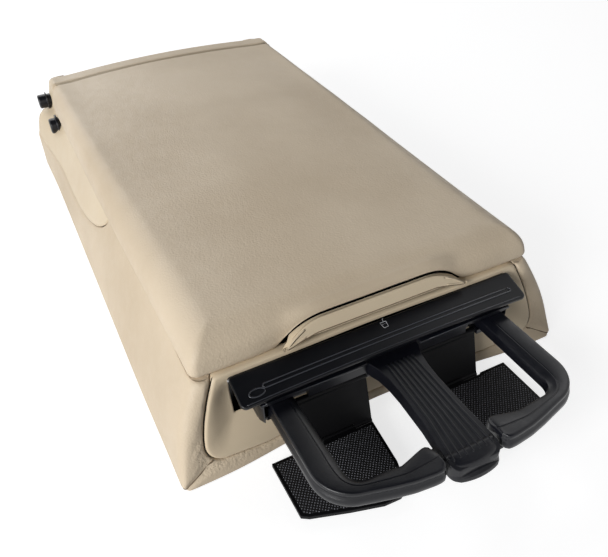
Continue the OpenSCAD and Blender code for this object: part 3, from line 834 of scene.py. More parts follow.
@dataclass
class LeatherBody:
    """The leather-covered lower body with its sewn corners."""

    form: BodyForm
    sole_r: float = 3.6
    rear_z: float = 46.6
    seam_gap: float = 0.7
    bezel_gap: float = 0.9
    gap_depth: float = 1.1
    bezel_half: float = 114.6
    bezel_belt_half: float = 101.5
    bezel_low: float = 21.0
    bezel_r: float = 10.6
    bezel_dip: float = 3.0
    edge_r: float = 6.5
    corner_edge_r: float = 1.6
    flange: float = 7.0
    flange_count: int = 2
    side_count: int = 16
    sole_count: int = 6
    floor_count: int = 26
    crease: float = 1.5
    roll: float = 2.8
    pucker: float = 1.0
    seam_r: float = 0.5
    ledge_rear: float = 26.0
    plate_y: float = 424.0
    plate_in: float = 103.0
    plate_inset: float = 2.6
    plate_levels: tuple[float, ...] = (44.0, 48.0, 52.0, 56.0, 59.0, 61.4)
    wall: float = 2.0

    def section(self, column: int, y: float) -> Pair:
        """Returns a point of the body's cross-section.

        Args:
            column: Number of the point, from the left top edge round to the right one.
            y: Where the section is cut.

        Returns:
            The point's x and z.
        """
        total = self.columns()
        mirror = column >= total / 2
        index = total - 1 - column if mirror else column
        sign = 1 if mirror else -1
        behind = y > self.form.panel_front
        top = min(self.form.belt_z, self.form.panel_edge(y) - (self.seam_gap if behind else 0))
        foot = self.form.side_x(y, self.sole_r)
        if index < self.flange_count:
            share = 1 - index / self.flange_count
            reach = self.flange * (0.5 if behind else 1.0)
            return (sign * (self.form.side_x(y, top) - 1.6 - reach * share), top - 0.3 - 0.5 * share)
        index -= self.flange_count
        if index < self.side_count:
            share = (index / self.side_count) ** 1.35
            z = top + (self.sole_r - top) * share
            tuck = (1.3 if behind else 0.5) * (1 - smooth(top - z, 0, 3.2)) ** 2
            return (sign * (self.form.side_x(y, z) - tuck), z)
        index -= self.side_count
        if index <= self.sole_count:
            turn = math.pi / 2 * index / self.sole_count
            low = self.sole_r * (1 - math.sin(turn))
            return (sign * (foot - self.sole_r * (1 - math.cos(turn))), low)
        index -= self.sole_count
        share = 1 - index / (self.floor_count / 2)
        return (sign * (foot - self.sole_r) * share, 0.0)

    def columns(self) -> int:
        """Returns how many points a cross-section has."""
        return 2 * (self.flange_count + self.side_count + self.sole_count) + self.floor_count + 1

    def corner_share(self, column: int) -> float:
        """Returns how near a column is to the sewn corner, from 0 to 1."""
        total = self.columns()
        index = min(column, total - 1 - column)
        middle = self.flange_count + self.side_count + self.sole_count * 0.5
        return max(0.0, 1 - abs(index - middle) / 1.6)

    def opening(self, grow: float) -> list[Pair]:
        """Returns the bezel's outline, matched point by point with the cross-section.

        Args:
            grow: How much larger than the bezel it is.

        Returns:
            Points from the left top edge round to the right one.
        """
        count = self.flange_count + self.side_count
        rise = self.form.belt_z - self.bezel_low
        tops = [self.form.belt_z - rise * i / 12 for i in range(13)]
        waist = self.bezel_half - self.bezel_belt_half
        side = [(-self.bezel_half - grow + waist * ((z - self.bezel_low) / rise) ** 1.54, z) for z in tops]
        centre = (self.bezel_half - self.bezel_r, self.bezel_low)
        corner = [(-x, z) for x, z in reversed(arc(centre, self.bezel_r + grow, -90, 0, self.sole_count))]
        left = spread(side, count + 1)[:-1] + corner
        half = self.floor_count // 2
        foot = self.bezel_low - self.bezel_r - grow
        for i in range(1, half + 1):
            x = -centre[0] * (1 - i / half)
            left.append((x, foot - self.bezel_dip * (1 - smooth(-x, 76, 102))))
        return left + [(-x, z) for x, z in reversed(left[:-1])]

    def radius(self, column: int, width: float) -> float:
        """Returns the radius of the edge between the front face and the side or the underside.

        Args:
            column: Number of the column.
            width: Width of the leather between bezel and outline there.

        Returns:
            The radius in millimetres.
        """
        index = min(column, self.columns() - 1 - column)
        first = self.flange_count + self.side_count
        low = smooth(index, first - 3, first + 3)
        return min(self.edge_r + (self.corner_edge_r - self.edge_r) * low, 0.6 * width)

    def front_row(self, reach: Callable[[float, float], float],
                  back: Callable[[float, float], float]) -> list[Vector]:
        """Returns a row on the front face, between the bezel and the body's outline.

        Args:
            reach: Distance from the bezel for a width of the leather and a radius of its edge.
            back: Distance behind the face for them.

        Returns:
            The row's points.
        """
        row = []
        for column, (bx, bz) in enumerate(self.opening(self.bezel_gap)):
            last = self.columns() - 1 - self.flange_count
            ox, oz = self.section(max(self.flange_count, min(column, last)), -12.0)
            width = max(0.5, math.dist((ox, oz), (bx, bz)))
            radius = self.radius(column, width)
            part = min(1.0, reach(width, radius) / width)
            x, z = bx + (ox - bx) * part, bz + (oz - bz) * part
            sink = self.crease * self.corner_share(column) * smooth(part, 0.02, 0.2)
            rolled = smooth(z, self.form.belt_z - self.roll, self.form.belt_z)
            sink += self.roll * (1 - math.sqrt(max(0.0, 1 - rolled ** 2)))
            ripple = noise.noise(Vector((x * 0.3, z * 0.3, 0)))
            pucker = self.pucker * ripple * smooth(part, 0, 0.12) * (1 - smooth(part, 0.2, 0.8))
            row.append(Drawing.at(x, self.form.front_y(x, z) + back(width, radius) + sink + pucker, z))
        return row

    def front_rows(self) -> list[list[Vector]]:
        """Returns the rows from inside the bezel's gap over the front face to the body's outline."""

        def puffed(width: float, part: float) -> float:
            """Returns how far the padded front stands forward at a part of its width."""
            return -0.09 * min(width, 14.0) * math.sin(math.pi * part)

        rows = [self.front_row(lambda w, r: 0.0, lambda w, r: 6.0),
                self.front_row(lambda w, r: 0.0, lambda w, r: 2.6),
                self.front_row(lambda w, r: 0.25, lambda w, r: 1.0),
                self.front_row(lambda w, r: 1.0, lambda w, r: 0.1)]
        for part in (0.2, 0.45, 0.7):
            rows.append(self.front_row(lambda w, r, p=part:
                                       min(1.0, 0.3 * w) + (w - r - min(1.0, 0.3 * w)) * p,
                                       lambda w, r, p=part: puffed(w, 0.6 * p)))
        for turn in (0, 18, 36, 54, 72, 90):
            a = math.radians(turn)
            rows.append(self.front_row(lambda w, r, a=a: w - r * (1 - math.sin(a)),
                                       lambda w, r, a=a, t=turn:
                                       r * (1 - math.cos(a)) + puffed(w, 0.6 + t / 225)))
        return rows

    def mesh(self) -> bpy.types.Object:
        """Builds the leather skin.

        Returns:
            The skin as an open mesh, with the strength of its puckers as an attribute.
        """
        total = self.columns()
        rows = self.front_rows()
        strength = [0.0, 0.3, 1.0, 1.0, 0.9, 0.5, 0.2, 0.05]
        for share in (0.15, 0.4, 0.7):
            row = []
            for column in range(total):
                x, z = self.section(column, -12.0 + 34 * share)
                start = self.form.front_y(x, z) + self.radius(column, 12.0)
                row.append(Drawing.at(x, start + (22 - start) * share, z))
            rows.append(row)
        front, level = self.form.panel_front, self.form.panel_level
        stations = [22 + 16 * i for i in range(10)] + [front - 4, front - 0.6, front]
        stations += [front + (level - front) * (1 - math.cos(math.radians(a))) for a in range(8, 89, 8)]
        stations += [level, 308, 324, 338, 350, 361, 371, 380, 388, 395, 402, 408, 413, 417]
        for y in stations:
            rows.append([Drawing.at(*self.at_station(column, y)) for column in range(total)])
        radius = 9.0
        for turn in (20, 45, 68, 90):
            a = math.radians(turn)
            y = self.form.rear - radius + radius * math.sin(a)
            rows.append(self.rear_row(radius * (1 - math.cos(a)), y))
        for share in (0.45, 0.75, 1.0):
            rows.append(self.rear_row(-share, self.form.rear))
        skin = Sheetwork.lattice("leather_body", rows, Finish.LEATHER, flip=True)
        level = skin.data.attributes.new("pucker", "FLOAT", "POINT")
        near = [smooth(min(c, total - 1 - c), 4, 12) for c in range(total)]
        level.data.foreach_set("value", [n * (strength[i] if i < len(strength) else 0.0)
                                         for i in range(len(rows)) for n in near])
        return skin

    def at_station(self, column: int, y: float) -> tuple[float, float, float]:
        """Returns the skin's point of a column at a station.

        Args:
            column: Number of the column.
            y: Where the station is.

        Returns:
            The point in drawing millimetres.
        """
        x, z = self.section(column, y)
        sink = self.crease * self.corner_share(column) * (1 - smooth(y, 10, 60))
        return (x - math.copysign(sink * 0.6, x), y, z + sink * 0.6)

    def rear_row(self, inset: float, y: float) -> list[Vector]:
        """Returns a row of the rounded rear edge or the rear face.

        Args:
            inset: Distance in from the outline, or minus the share of the way to the top line.
            y: Where the row is.

        Returns:
            The row's points.
        """
        total = self.columns()
        row = []
        for column in range(total):
            x, z = self.section(column, self.form.rear)
            tx = -112 + 224 * column / (total - 1)
            width = max(0.5, math.dist((x, z), (tx, self.rear_z)))
            start = min(0.9, 9.0 / width)
            share = inset / width if inset >= 0 else start + (1 - start) * -inset
            share = min(share, 0.9 if inset >= 0 else 1.0)
            row.append(Drawing.at(x + (tx - x) * share, y, z + (self.rear_z - z) * share))
        return row

    def gap_path(self, side: int) -> list[Vector]:
        """Returns the line at the bottom of the gap between leather and bezel.

        Args:
            side: -1 for the left side, 1 for the right one.

        Returns:
            Points from the belt down round the lower corner.
        """
        line = self.opening(self.bezel_gap * 0.5)[:self.flange_count + self.side_count + self.sole_count - 2]
        return [Drawing.at(-side * x, self.form.front_y(x, z) + self.gap_depth, z) for x, z in line]

    def rear_corner(self, side: int) -> bpy.types.Object:
        """Builds the sheet that closes the body's rear corner beside the pins.

        Args:
            side: -1 for the left side and 1 for the right side.

        Returns:
            The sheet.
        """
        rows = []
        for z in self.plate_levels:
            outer = self.form.rear_x(z) - self.plate_inset
            rows.append([Drawing.at(side * x, self.plate_y, z) for x in (self.plate_in, outer)])
        name = "rear_corner_left" if side < 0 else "rear_corner_right"
        return Sheetwork.lattice(name, rows, Finish.LEATHER, flip=side < 0)

    def seams(self) -> list[bpy.types.Object]:
        """Builds the painted shade in the bezel gaps, the corner seams in painted crease shade and the small sheets
        that close the body's corners.

        Returns:
            The painted shade tubes in the bezel gaps, the seams, the rear corner plates and the ledges under the lid's
            front corners.
        """
        made = []
        rows = self.front_rows()
        for side in (-1, 1):
            name = "bezel_gap_shade_left" if side < 0 else "bezel_gap_shade_right"
            # Painted shade: a near-black tube fills the gap between leather and bezel.
            made.append(Sheetwork.tube(name, self.gap_path(side), self.bezel_gap * 0.4, Finish.SHADE))
            column = self.flange_count + self.side_count + self.sole_count // 2
            column = column if side < 0 else self.columns() - 1 - column
            seam = [row[column] + Vector((0, -0.0001, -0.0001)) for row in rows[2:]]
            name = "corner_seam_left" if side < 0 else "corner_seam_right"
            # The seam is a real dark joint, and its darker crease leather adds painted shade in the crease.
            made.append(Sheetwork.tube(name, seam, self.seam_r, Finish.CREASE))
            column = 0 if side < 0 else self.columns() - 1
            edge = [row[column] + Vector((0, 0, -0.0002)) for row in rows[2:]]
            ledge = [[p, Vector((p.x, Drawing.at(0, self.ledge_rear, 0).y, p.z))] for p in edge]
            made.append(self.rear_corner(side))
            name = "belt_ledge_left" if side < 0 else "belt_ledge_right"
            made.append(Sheetwork.lattice(name, ledge, Finish.LEATHER, flip=side < 0))
        return made

    def dress(self) -> None:
        """Builds the body and puts it in the CAD cover's place."""
        skin = Sheetwork.soften(self.mesh(), levels=1, shell=self.wall)
        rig.ride(skin, "base")
        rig.replaces(skin, "lower_cover")
        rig.slot(skin, "beige_leather")
        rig.padded(skin, fill=0.9)
        for seam in self.seams():
            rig.ride(seam, "base")
            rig.slot(seam, "beige_leather")
        LOG.info("leather body and its corner seams")


@dataclass
class SidePanel:
    """A moulded panel let into the side of the body, with the neck that the seat pins stand on."""

    form: BodyForm
    side: int
    wall: float = 2.4
    neck_front: float = 394.6
    neck_lean: float = 2.4
    edge: float = 0.7
    across: int = 34

    def top(self, y: float) -> float:
        """Returns the height of the panel's upper edge at y."""
        if y < self.neck_front:
            return self.form.belt_z
        rise = min(1.0, (y - self.neck_front) / self.neck_lean)
        return self.form.belt_z + (self.form.neck_top - self.form.belt_z) * rise

    def row(self, y: float, sink: float) -> list[Vector]:
        """Returns a row of the panel from its lower to its upper edge.

        Args:
            y: Where the row is.
            sink: How far the row lies below the outer surface.

        Returns:
            The row's points.
        """
        low, high = self.form.panel_edge(y), self.top(y)
        row = []
        for i in range(self.across + 1):
            part = i / self.across
            z = low + (high - low) * part
            rim = self.edge * ((1 - smooth(z - low, 0, 1.4)) + (1 - smooth(high - z, 0, 1.4)))
            x = self.form.side_x(y, z) - rim - sink
            row.append(Drawing.at(self.side * x, y, z))
        return row

    def mesh(self) -> bpy.types.Object:
        """Builds the panel's outer face.

        Returns:
            An open mesh.
        """
        front, level = self.form.panel_front, self.form.panel_level
        stations = [front + (level - front) * (1 - math.cos(math.radians(a))) for a in range(4, 91, 4)]
        stations += [level + (self.neck_front - level) * i / 14 for i in range(1, 15)]
        stations += [self.neck_front + self.neck_lean * i / 4 for i in range(1, 5)]
        stations += [402, 407, 411, 415, 418.5]
        rows = [self.row(y, 0.0) for y in stations]
        radius = 9.0
        for turn in (15, 30, 45, 60, 75, 90):
            a = math.radians(turn)
            rows.append(self.row(418.5 + radius * math.sin(a), radius * (1 - math.cos(a))))
        rows.append(self.row(418.5 + radius, radius + 6))
        name = "side_panel_shell_left" if self.side < 0 else "side_panel_shell_right"
        return Sheetwork.lattice(name, rows, Finish.PANEL, flip=self.side > 0)

    def dress(self) -> None:
        """Builds the panel and puts it in the CAD panel's place."""
        shell = Sheetwork.soften(self.mesh(), shell=self.wall)
        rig.ride(shell, "base")
        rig.replaces(shell, "side_panel_left" if self.side < 0 else "side_panel_right")
        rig.slot(shell, "beige_plastic")
        LOG.info("side panel %s", shell.name)


@dataclass
class LidPad:
    """The padded leather lid."""

    half: float = 110.0
    length: float = 392.3
    base_z: float = 62.3
    top_z: float = 85.4
    rear_rise: float = 3.4
    crown: float = 1.5
    rear_crown: float = 4.0
    side_bulge: float = 3.0
    front_bulge: float = 1.3
    rear_gain: float = 2.8
    edge_r: float = 17.0
    rear_edge_share: float = 0.5
    rear_r: float = 2.6
    corner_r: float = 4.8
    handle_half: float = 61.4
    handle_flat: float = 34.0
    handle_top: float = 75.5
    handle_end: float = 63.4
    arch_gap: float = 1.15
    notch: float = 14.2
    relief: float = 1.5
    pressure: float = 4.0
    cap: float = 1.1
    frames: int = 20
    spine_end: float = 98.0

    def handle_z(self, x: float) -> float:
        """Returns the height of the handle's upper edge, or the belt's height beside it.

        Args:
            x: Distance from the middle.

        Returns:
            The height in millimetres.
        """
        reach, rise = self.handle_half - self.handle_flat, self.handle_top - self.handle_end
        radius = (reach * reach + rise * rise) / (2 * rise)
        out = max(0.0, abs(x) - self.handle_flat)
        return self.handle_top - radius + math.sqrt(max(0.0, radius * radius - out * out))

    def arch(self, x: float) -> float:
        """Returns how far the lid's lower edge rises over the handle."""
        gap = self.arch_gap * (1 - 0.8 * smooth(abs(x), 52, 61))
        return max(0.0, self.handle_z(x) + gap - self.base_z)

    def back(self, y: float) -> float:
        """Returns the share of the way back along the lid at y."""
        return min(1.0, max(0.0, y / self.length))

    def outline(self, inset: float) -> list[tuple[float, float, float]]:
        """Returns the lid's plan, moved in from its edges.

        Args:
            inset: Distance in from the front and the sides.

        Returns:
            Points x and y and the share of the rear edge, from the front left corner round.
        """
        share = inset / self.edge_r
        half, front = self.half - inset, inset
        rear = self.length - self.rear_r * share
        radius = max(1.0, self.corner_r - (self.corner_r - 1) * share)
        small = max(0.4, 2.0 - 1.6 * share)
        across, along_count, turn = 44, 78, 7
        points = [(-half + radius + (2 * half - 2 * radius) * i / across, front, 0.0)
                  for i in range(across + 1)]
        points += [(x, y, 0.0) for x, y in arc((half - radius, front + radius), radius, -90, 0, turn)[1:]]
        span = rear - small - front - radius
        points += [(half, front + radius + span * i / along_count, 0.0) for i in range(1, along_count + 1)]
        corner = arc((half - small, rear - small), small, 0, 90, turn)[1:]
        points += [(x, y, smooth(i / turn)) for i, (x, y) in enumerate(corner, 1)]
        points += [(half - small - (2 * half - 2 * small) * i / across, rear, 1.0)
                   for i in range(1, across + 1)]
        corner = arc((-half + small, rear - small), small, 90, 180, turn)[1:]
        points += [(x, y, 1 - smooth(i / turn)) for i, (x, y) in enumerate(corner, 1)]
        points += [(-half, rear - small - span * i / along_count, 0.0) for i in range(1, along_count + 1)]
        corner = arc((-half + radius, front + radius), radius, 180, 270, turn)[1:-1]
        points += [(x, y, 0.0) for x, y in corner]
        return points

    def edge_share(self, y: float) -> float:
        """Returns the share of the edge radius that is left at y, since the edge gets tighter to the rear."""
        return 1 + (self.rear_edge_share - 1) * smooth(self.back(y), 0.1, 1.0)

    def stretched(self, x: float, y: float, inset: float) -> float:
        """Returns x moved for the tighter edge and the wider rear of the lid.

        Args:
            x: Distance from the middle on the plain outline.
            y: Distance behind the lid's front edge.
            inset: How far the outline was moved in.

        Returns:
            The moved x.
        """
        half = self.half - inset * self.edge_share(y) + self.rear_gain * smooth(self.back(y), -0.1, 0.6)
        return x * half / (self.half - inset)

    def crest(self, x: float, y: float) -> float:
        """Returns the height of the lid's top.

        Args:
            x: Distance from the middle.
            y: Distance behind the lid's front edge.

        Returns:
            The height in millimetres.
        """
        back = self.back(y)
        crown = self.crown + (self.rear_crown - self.crown) * back
        return self.top_z + self.rear_rise * back + crown * (1 - min(1.0, abs(x) / 95) ** 2)

    def swollen(self, x: float, y: float, z: float) -> Vector:
        """Returns a point of the lid's wall moved outwards, as the padding swells it.

        Args:
            x: Distance from the middle.
            y: Distance behind the lid's front edge.
            z: Height above the underside.

        Returns:
            The point in the CAD frame.
        """
        height = (z - self.base_z) / (self.top_z - self.base_z)
        swell = math.sin(math.pi * (0.03 + 0.97 * min(1.0, max(0.0, height))) ** 0.45)
        out = math.copysign(self.side_bulge * swell * smooth(abs(x), self.half - 24, self.half - 2), x)
        forward = self.front_bulge * swell * (1 - smooth(y, 2, 24)) * smooth(abs(x), 58, 80)
        return Drawing.at(x + out, y - forward, z)

    def mesh(self) -> bpy.types.Object:
        """Builds the lid pad before it is puffed up.

        Returns:
            A mesh with even faces, which is open below, where the lid board closes it.
        """
        rows = []
        underside = ((self.edge_r, 0.0), (self.notch + 0.5, 0.0), (self.notch, 0.0), (6, 0.0), (2.4, 0.0))
        turned_up = ((0.9, 0.5), (0.15, 1.7))
        for inset, lift in (*underside, *turned_up):
            rows.append(self.row(inset, lift, None))
        for share in (0.3, 0.6, 0.85):
            rows.append(self.row(-0.35 * math.sin(math.pi * share), None, share))
        for turn in range(0, 91, 10):
            a = math.radians(turn)
            rows.append(self.top_row(self.edge_r * (1 - math.cos(a)), a))
        ring = self.outline(self.edge_r)
        for step in range(1, 19):
            share = step / 18
            row = []
            for plain, y, _ in ring:
                x = self.stretched(plain, y, self.edge_r)
                tx, ty = 0.0, min(max(y, self.spine_end), self.length - self.spine_end)
                px, py = x + (tx - x) * share, y + (ty - y) * share
                row.append(Drawing.at(px, py, self.crest(px, py)))
            rows.append(row)
        pad = Sheetwork.lattice("lid_cushion", rows, Finish.LEATHER, ring=True)
        return pad

    def row(self, inset: float, lift: float | None, share: float | None) -> list[Vector]:
        """Returns a row of the underside or the side wall.

        Args:
            inset: Distance in from the outline.
            lift: Height above the lower edge, or None on the wall.
            share: Share of the wall's height, or None on the underside.

        Returns:
            The row's points.
        """
        row = []
        for plain, y, back in self.outline(inset):
            x = self.stretched(plain, y, inset)
            low = self.base_z
            if y < self.notch + 0.2:
                low += self.arch(x) + (self.relief * smooth(self.arch(x), 0, 3) if inset > 1 else 0.0)
            radius = self.edge_r * self.edge_share(y)
            radius += (self.rear_r - radius) * back
            start = self.crest(x, y) - radius
            z = low + (lift or 0.0)
            if lift is None:
                z = low + 1.7 + (max(start, low + 2) - low - 1.7) * (share or 0.0)
            row.append(self.swollen(x, y, z))
        return row

    def top_row(self, inset: float, turn: float) -> list[Vector]:
        """Returns a row of the rounded upper edge.

        Args:
            inset: Distance in from the outline.
            turn: Angle along the rounded edge in radians.

        Returns:
            The row's points.
        """
        row = []
        for plain, y, back in self.outline(inset):
            x = self.stretched(plain, y, inset)
            near = 1 - smooth(y, 4, 9)
            low = self.base_z + self.arch(x) * near + 2
            radius = self.edge_r * self.edge_share(y)
            radius += (self.rear_r - radius) * back
            top = self.crest(x, y)
            start = max(top - radius, low)
            z = start + (top - start) * math.sin(turn)
            row.append(self.swollen(x, y, z))
        return row

    def puff(self, pad: bpy.types.Object) -> None:
        """Swells the pad a little with a cloth simulation, as foam under tight leather does.

        Args:
            pad: The pad's mesh, which gets the simulated shape.
        """
        rest = [v.co.copy() for v in pad.data.vertices]
        floor = Drawing.at(0, 0, self.base_z + 2.5).z
        lip = Drawing.at(0, 5, 0).y
        back = Drawing.at(0, self.length - 5, 0).y
        held = [i for i, p in enumerate(rest)
                if p.z < floor + (self.arch(p.x / MM) * MM if p.y < lip else 0.0) or p.y > back]
        group = pad.vertex_groups.new(name="held")
        group.add(held, 1.0, "REPLACE")
        cloth = pad.modifiers.new("swell", "CLOTH")
        cloth.settings.quality = 6
        cloth.settings.use_pressure = True
        cloth.settings.uniform_pressure_force = self.pressure
        cloth.settings.effector_weights.gravity = 0.0
        cloth.settings.vertex_group_mass = "held"
        cloth.point_cache.frame_start = 1
        cloth.point_cache.frame_end = self.frames
        scene = bpy.context.scene
        for step in range(1, self.frames + 1):
            scene.frame_set(step)
        shape = pad.evaluated_get(bpy.context.evaluated_depsgraph_get()).to_mesh()
        moved = [v.co.copy() for v in shape.vertices]
        pad.modifiers.remove(cloth)
        scene.frame_set(1)
        limit = self.cap * MM
        for vertex, start, end in zip(pad.data.vertices, rest, moved):
            step = end - start
            if step.length > limit:
                step = step.normalized() * limit
            vertex.co = start + step
        pad.data.update()

    def ripple(self, pad: bpy.types.Object) -> None:
        """Adds the slight unevenness of stretched leather.

        Args:
            pad: The pad's mesh.
        """
        for vertex in pad.data.vertices:
            place = vertex.co * 17.0
            height = noise.noise(place) * 0.5 + noise.noise(place * 2.3) * 0.25
            upper = smooth(vertex.co.z / MM, self.base_z + 8, self.top_z)
            vertex.co.z += height * 0.7 * MM * upper
        pad.data.update()

    def dress(self) -> None:
        """Builds the lid pad and puts it in the CAD pad's place."""
        pad = self.mesh()
        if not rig.quick():
            self.puff(pad)
        self.ripple(pad)
        Sheetwork.soften(pad, levels=1)
        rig.ride(pad, "lid")
        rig.replaces(pad, "lid_pad")
        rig.slot(pad, "beige_leather")
        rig.padded(pad, fill=0.95)
        LOG.info("lid pad")


@dataclass
class RearStrip:
    """The fixed leather strip behind the lid, and the fold over the hinge."""

    lid: LidPad
    front: float = 395.6
    rear: float = 419.0
    low: float = 70.0
    half: float = 112.0
    front_r: float = 2.6
    rear_r: float = 8.0
    end_r: float = 4.5
    fold_half: float = 108.0
    fold_sink: float = 1.5
    squashed: float = 0.74

    def top(self, x: float) -> float:
        """Returns the height of the strip's top over a distance from the middle."""
        return self.lid.crest(x, self.lid.length) + 0.2

    def mesh(self) -> bpy.types.Object:
        """Builds the padded strip.

        Returns:
            A closed mesh.
        """
        stops = [(self.end_r * (1 - math.sin(math.radians(a))), self.end_r * (1 - math.cos(math.radians(a))))
                 for a in (90, 70, 50, 30, 15, 0)]
        ends = [(-self.half + out, inset) for out, inset in stops]
        middle = [(-100.0 + 10 * i, 0.0) for i in range(21)]
        rows = []
        for x, inset in [*ends, *middle, *[(-x, i) for x, i in reversed(ends)]]:
            top = self.top(x) - inset
            profile = [(self.front + 0.4 * inset, self.low)]
            profile += arc((self.front + self.front_r, top - self.front_r), self.front_r, 180, 90, 6)
            profile += arc((410, top - self.rear_r), self.rear_r, 88, 22, 6)
            profile.append((self.rear - 0.4 * inset, self.low))
            rows.append([Drawing.at(x, y, z) for y, z in spread(profile, 34)])
        return Sheetwork.lattice("rear_strip_leather", rows, Finish.LEATHER, ring=True, caps=True)

    def fold(self) -> bpy.types.Object:
        """Builds the thin fold that covers the hinge between lid and strip.

        Returns:
            The fold's mesh.
        """
        profile = [(390.4, 0.1), (391.8, -0.4), (393.0, -1.0), (394.0, -1.2), (395.0, -1.0), (396.2, -0.4),
                   (397.4, 0.0)]
        rows = []
        count = 44
        for i in range(count + 1):
            x = self.fold_half * (2 * i / count - 1)
            rows.append([Drawing.at(x, y, self.top(x) - self.fold_sink + 0.5 + z) for y, z in profile])
        return Sheetwork.lattice("hinge_fold", rows, Finish.SEAM)

    def dress(self) -> None:
        """Builds the strip and the fold and puts them in place."""
        strip = Sheetwork.soften(self.mesh(), levels=1)
        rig.ride(strip, "base")
        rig.replaces(strip, "rear_strip")
        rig.slot(strip, "beige_leather")
        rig.padded(strip, fill=0.9)
        rear_edge = tuple(Drawing.at(0, self.rear, self.low))
        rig.squash(strip, "lid_hinge", axis=(0, 1, 0), anchor=rear_edge, keep=self.squashed)
        fold = Sheetwork.soften(self.fold(), shell=0.5)
        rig.slot(fold, "beige_leather")
        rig.blend(fold, "base", "lid", start=Drawing.at(0, 396.0, 87), end=Drawing.at(0, 392.0, 87))
        LOG.info("rear strip and hinge fold")


@dataclass
class Bezel:
    """The dished plastic bezel round the cup holder's slot."""

    body: LeatherBody
    form: BodyForm
    slot_half: float = 94.2
    slot_low: float = 32.3
    slot_high: float = 59.5
    scoop: float = 4.6
    rim_r: float = 1.6

    def mesh(self) -> bpy.types.Object:
        """Builds the bezel as rings from its outline in to the slot.

        Returns:
            An open mesh.
        """
        outer = self.body.opening(0.0)
        count = len(outer)
        top_count = 24
        half = outer[-1][0]
        belt = self.form.belt_z
        outer = outer + [(half - 2 * half * i / (top_count + 1), belt) for i in range(1, top_count + 1)]
        side = self.body.flange_count + self.body.side_count + 1
        corner = self.body.sole_count
        floor = count - 2 * (side + corner)
        r = 1.5
        s, low, high = self.slot_half, self.slot_low, self.slot_high
        inner = [(-s, high + (low + r - high) * i / (side - 1)) for i in range(side)]
        bends = [math.radians(90 * i / corner) for i in range(1, corner + 1)]
        inner += [(-s + r - r * math.cos(bend), low + r - r * math.sin(bend)) for bend in bends]
        inner += [(-s + r + (2 * s - 2 * r) * i / (floor + 1), low) for i in range(1, floor + 1)]
        left = inner[:side + corner]
        inner += [(-x, z) for x, z in reversed(left)]
        inner += [(s - 2 * s * i / (top_count + 1), high) for i in range(1, top_count + 1)]
        rows: list[list[Vector]] = []
        turns = [math.radians(a) for a in (0, 22, 45, 68, 90)]
        steps = [(0.0, 0.0, 6.0), (0.0, 0.0, 2.6)]
        steps += [(self.rim_r * (1 - math.cos(a)), 0.0, self.rim_r * (1 - math.sin(a))) for a in turns]
        steps += [(self.rim_r, part / 14, 0.0) for part in range(1, 14)]
        steps += [(self.rim_r, 0.975, 0.0), (self.rim_r, 1.0, 0.0)]
        for inset, part, back in steps:
            row = []
            for i, ((ox, oz), (ix, iz)) in enumerate(zip(outer, inner)):
                width = math.dist((ox, oz), (ix, iz))
                start = min(0.3, inset / width)
                share = start + (1 - start) * part
                x, z = ox + (ix - ox) * share, oz + (iz - oz) * share
                hollow = 0.0
                if i < count:
                    hollow = self.scoop * smooth(share, 0.04, 1.05) * smooth(self.slot_high + 2 - z, 0, 14)
                row.append(Drawing.at(x, self.form.front_y(x, z) + 0.2 + back + hollow, z))
            rows.append(row)
        rows.append([p + Vector((0, 0.7 * MM, 0)) for p in rows[-1]])
        self.rim = rows[-1]
        return Sheetwork.lattice("bezel_shell", rows, Finish.PANEL, ring=True, flip=True)

    def shade_sheet(self) -> bpy.types.Object:
        """Builds painted shade behind the slot's rim: a near-black ring over the black housing, which lies in shade
        there.

        Returns:
            The ring.
        """
        rows = [[p + Vector((0, back * MM, 0)) for p in self.rim] for back in (0.05, 3.0, 7.0)]
        return Sheetwork.lattice("slot_shade_ring", rows, Finish.SHADE, ring=True, flip=True)

    def dress(self) -> None:
        """Builds the bezel and puts it in the CAD bezel's place."""
        shell = Sheetwork.soften(self.mesh(), shell=0.6, levels=1)
        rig.ride(shell, "base")
        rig.replaces(shell, "bezel")
        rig.slot(shell, "beige_plastic")
        # Painted shade inside the slot, over the housing's real black plastic.
        slot_shade = self.shade_sheet()
        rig.ride(slot_shade, "base")
        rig.slot(slot_shade, "black_plastic")
        LOG.info("bezel")


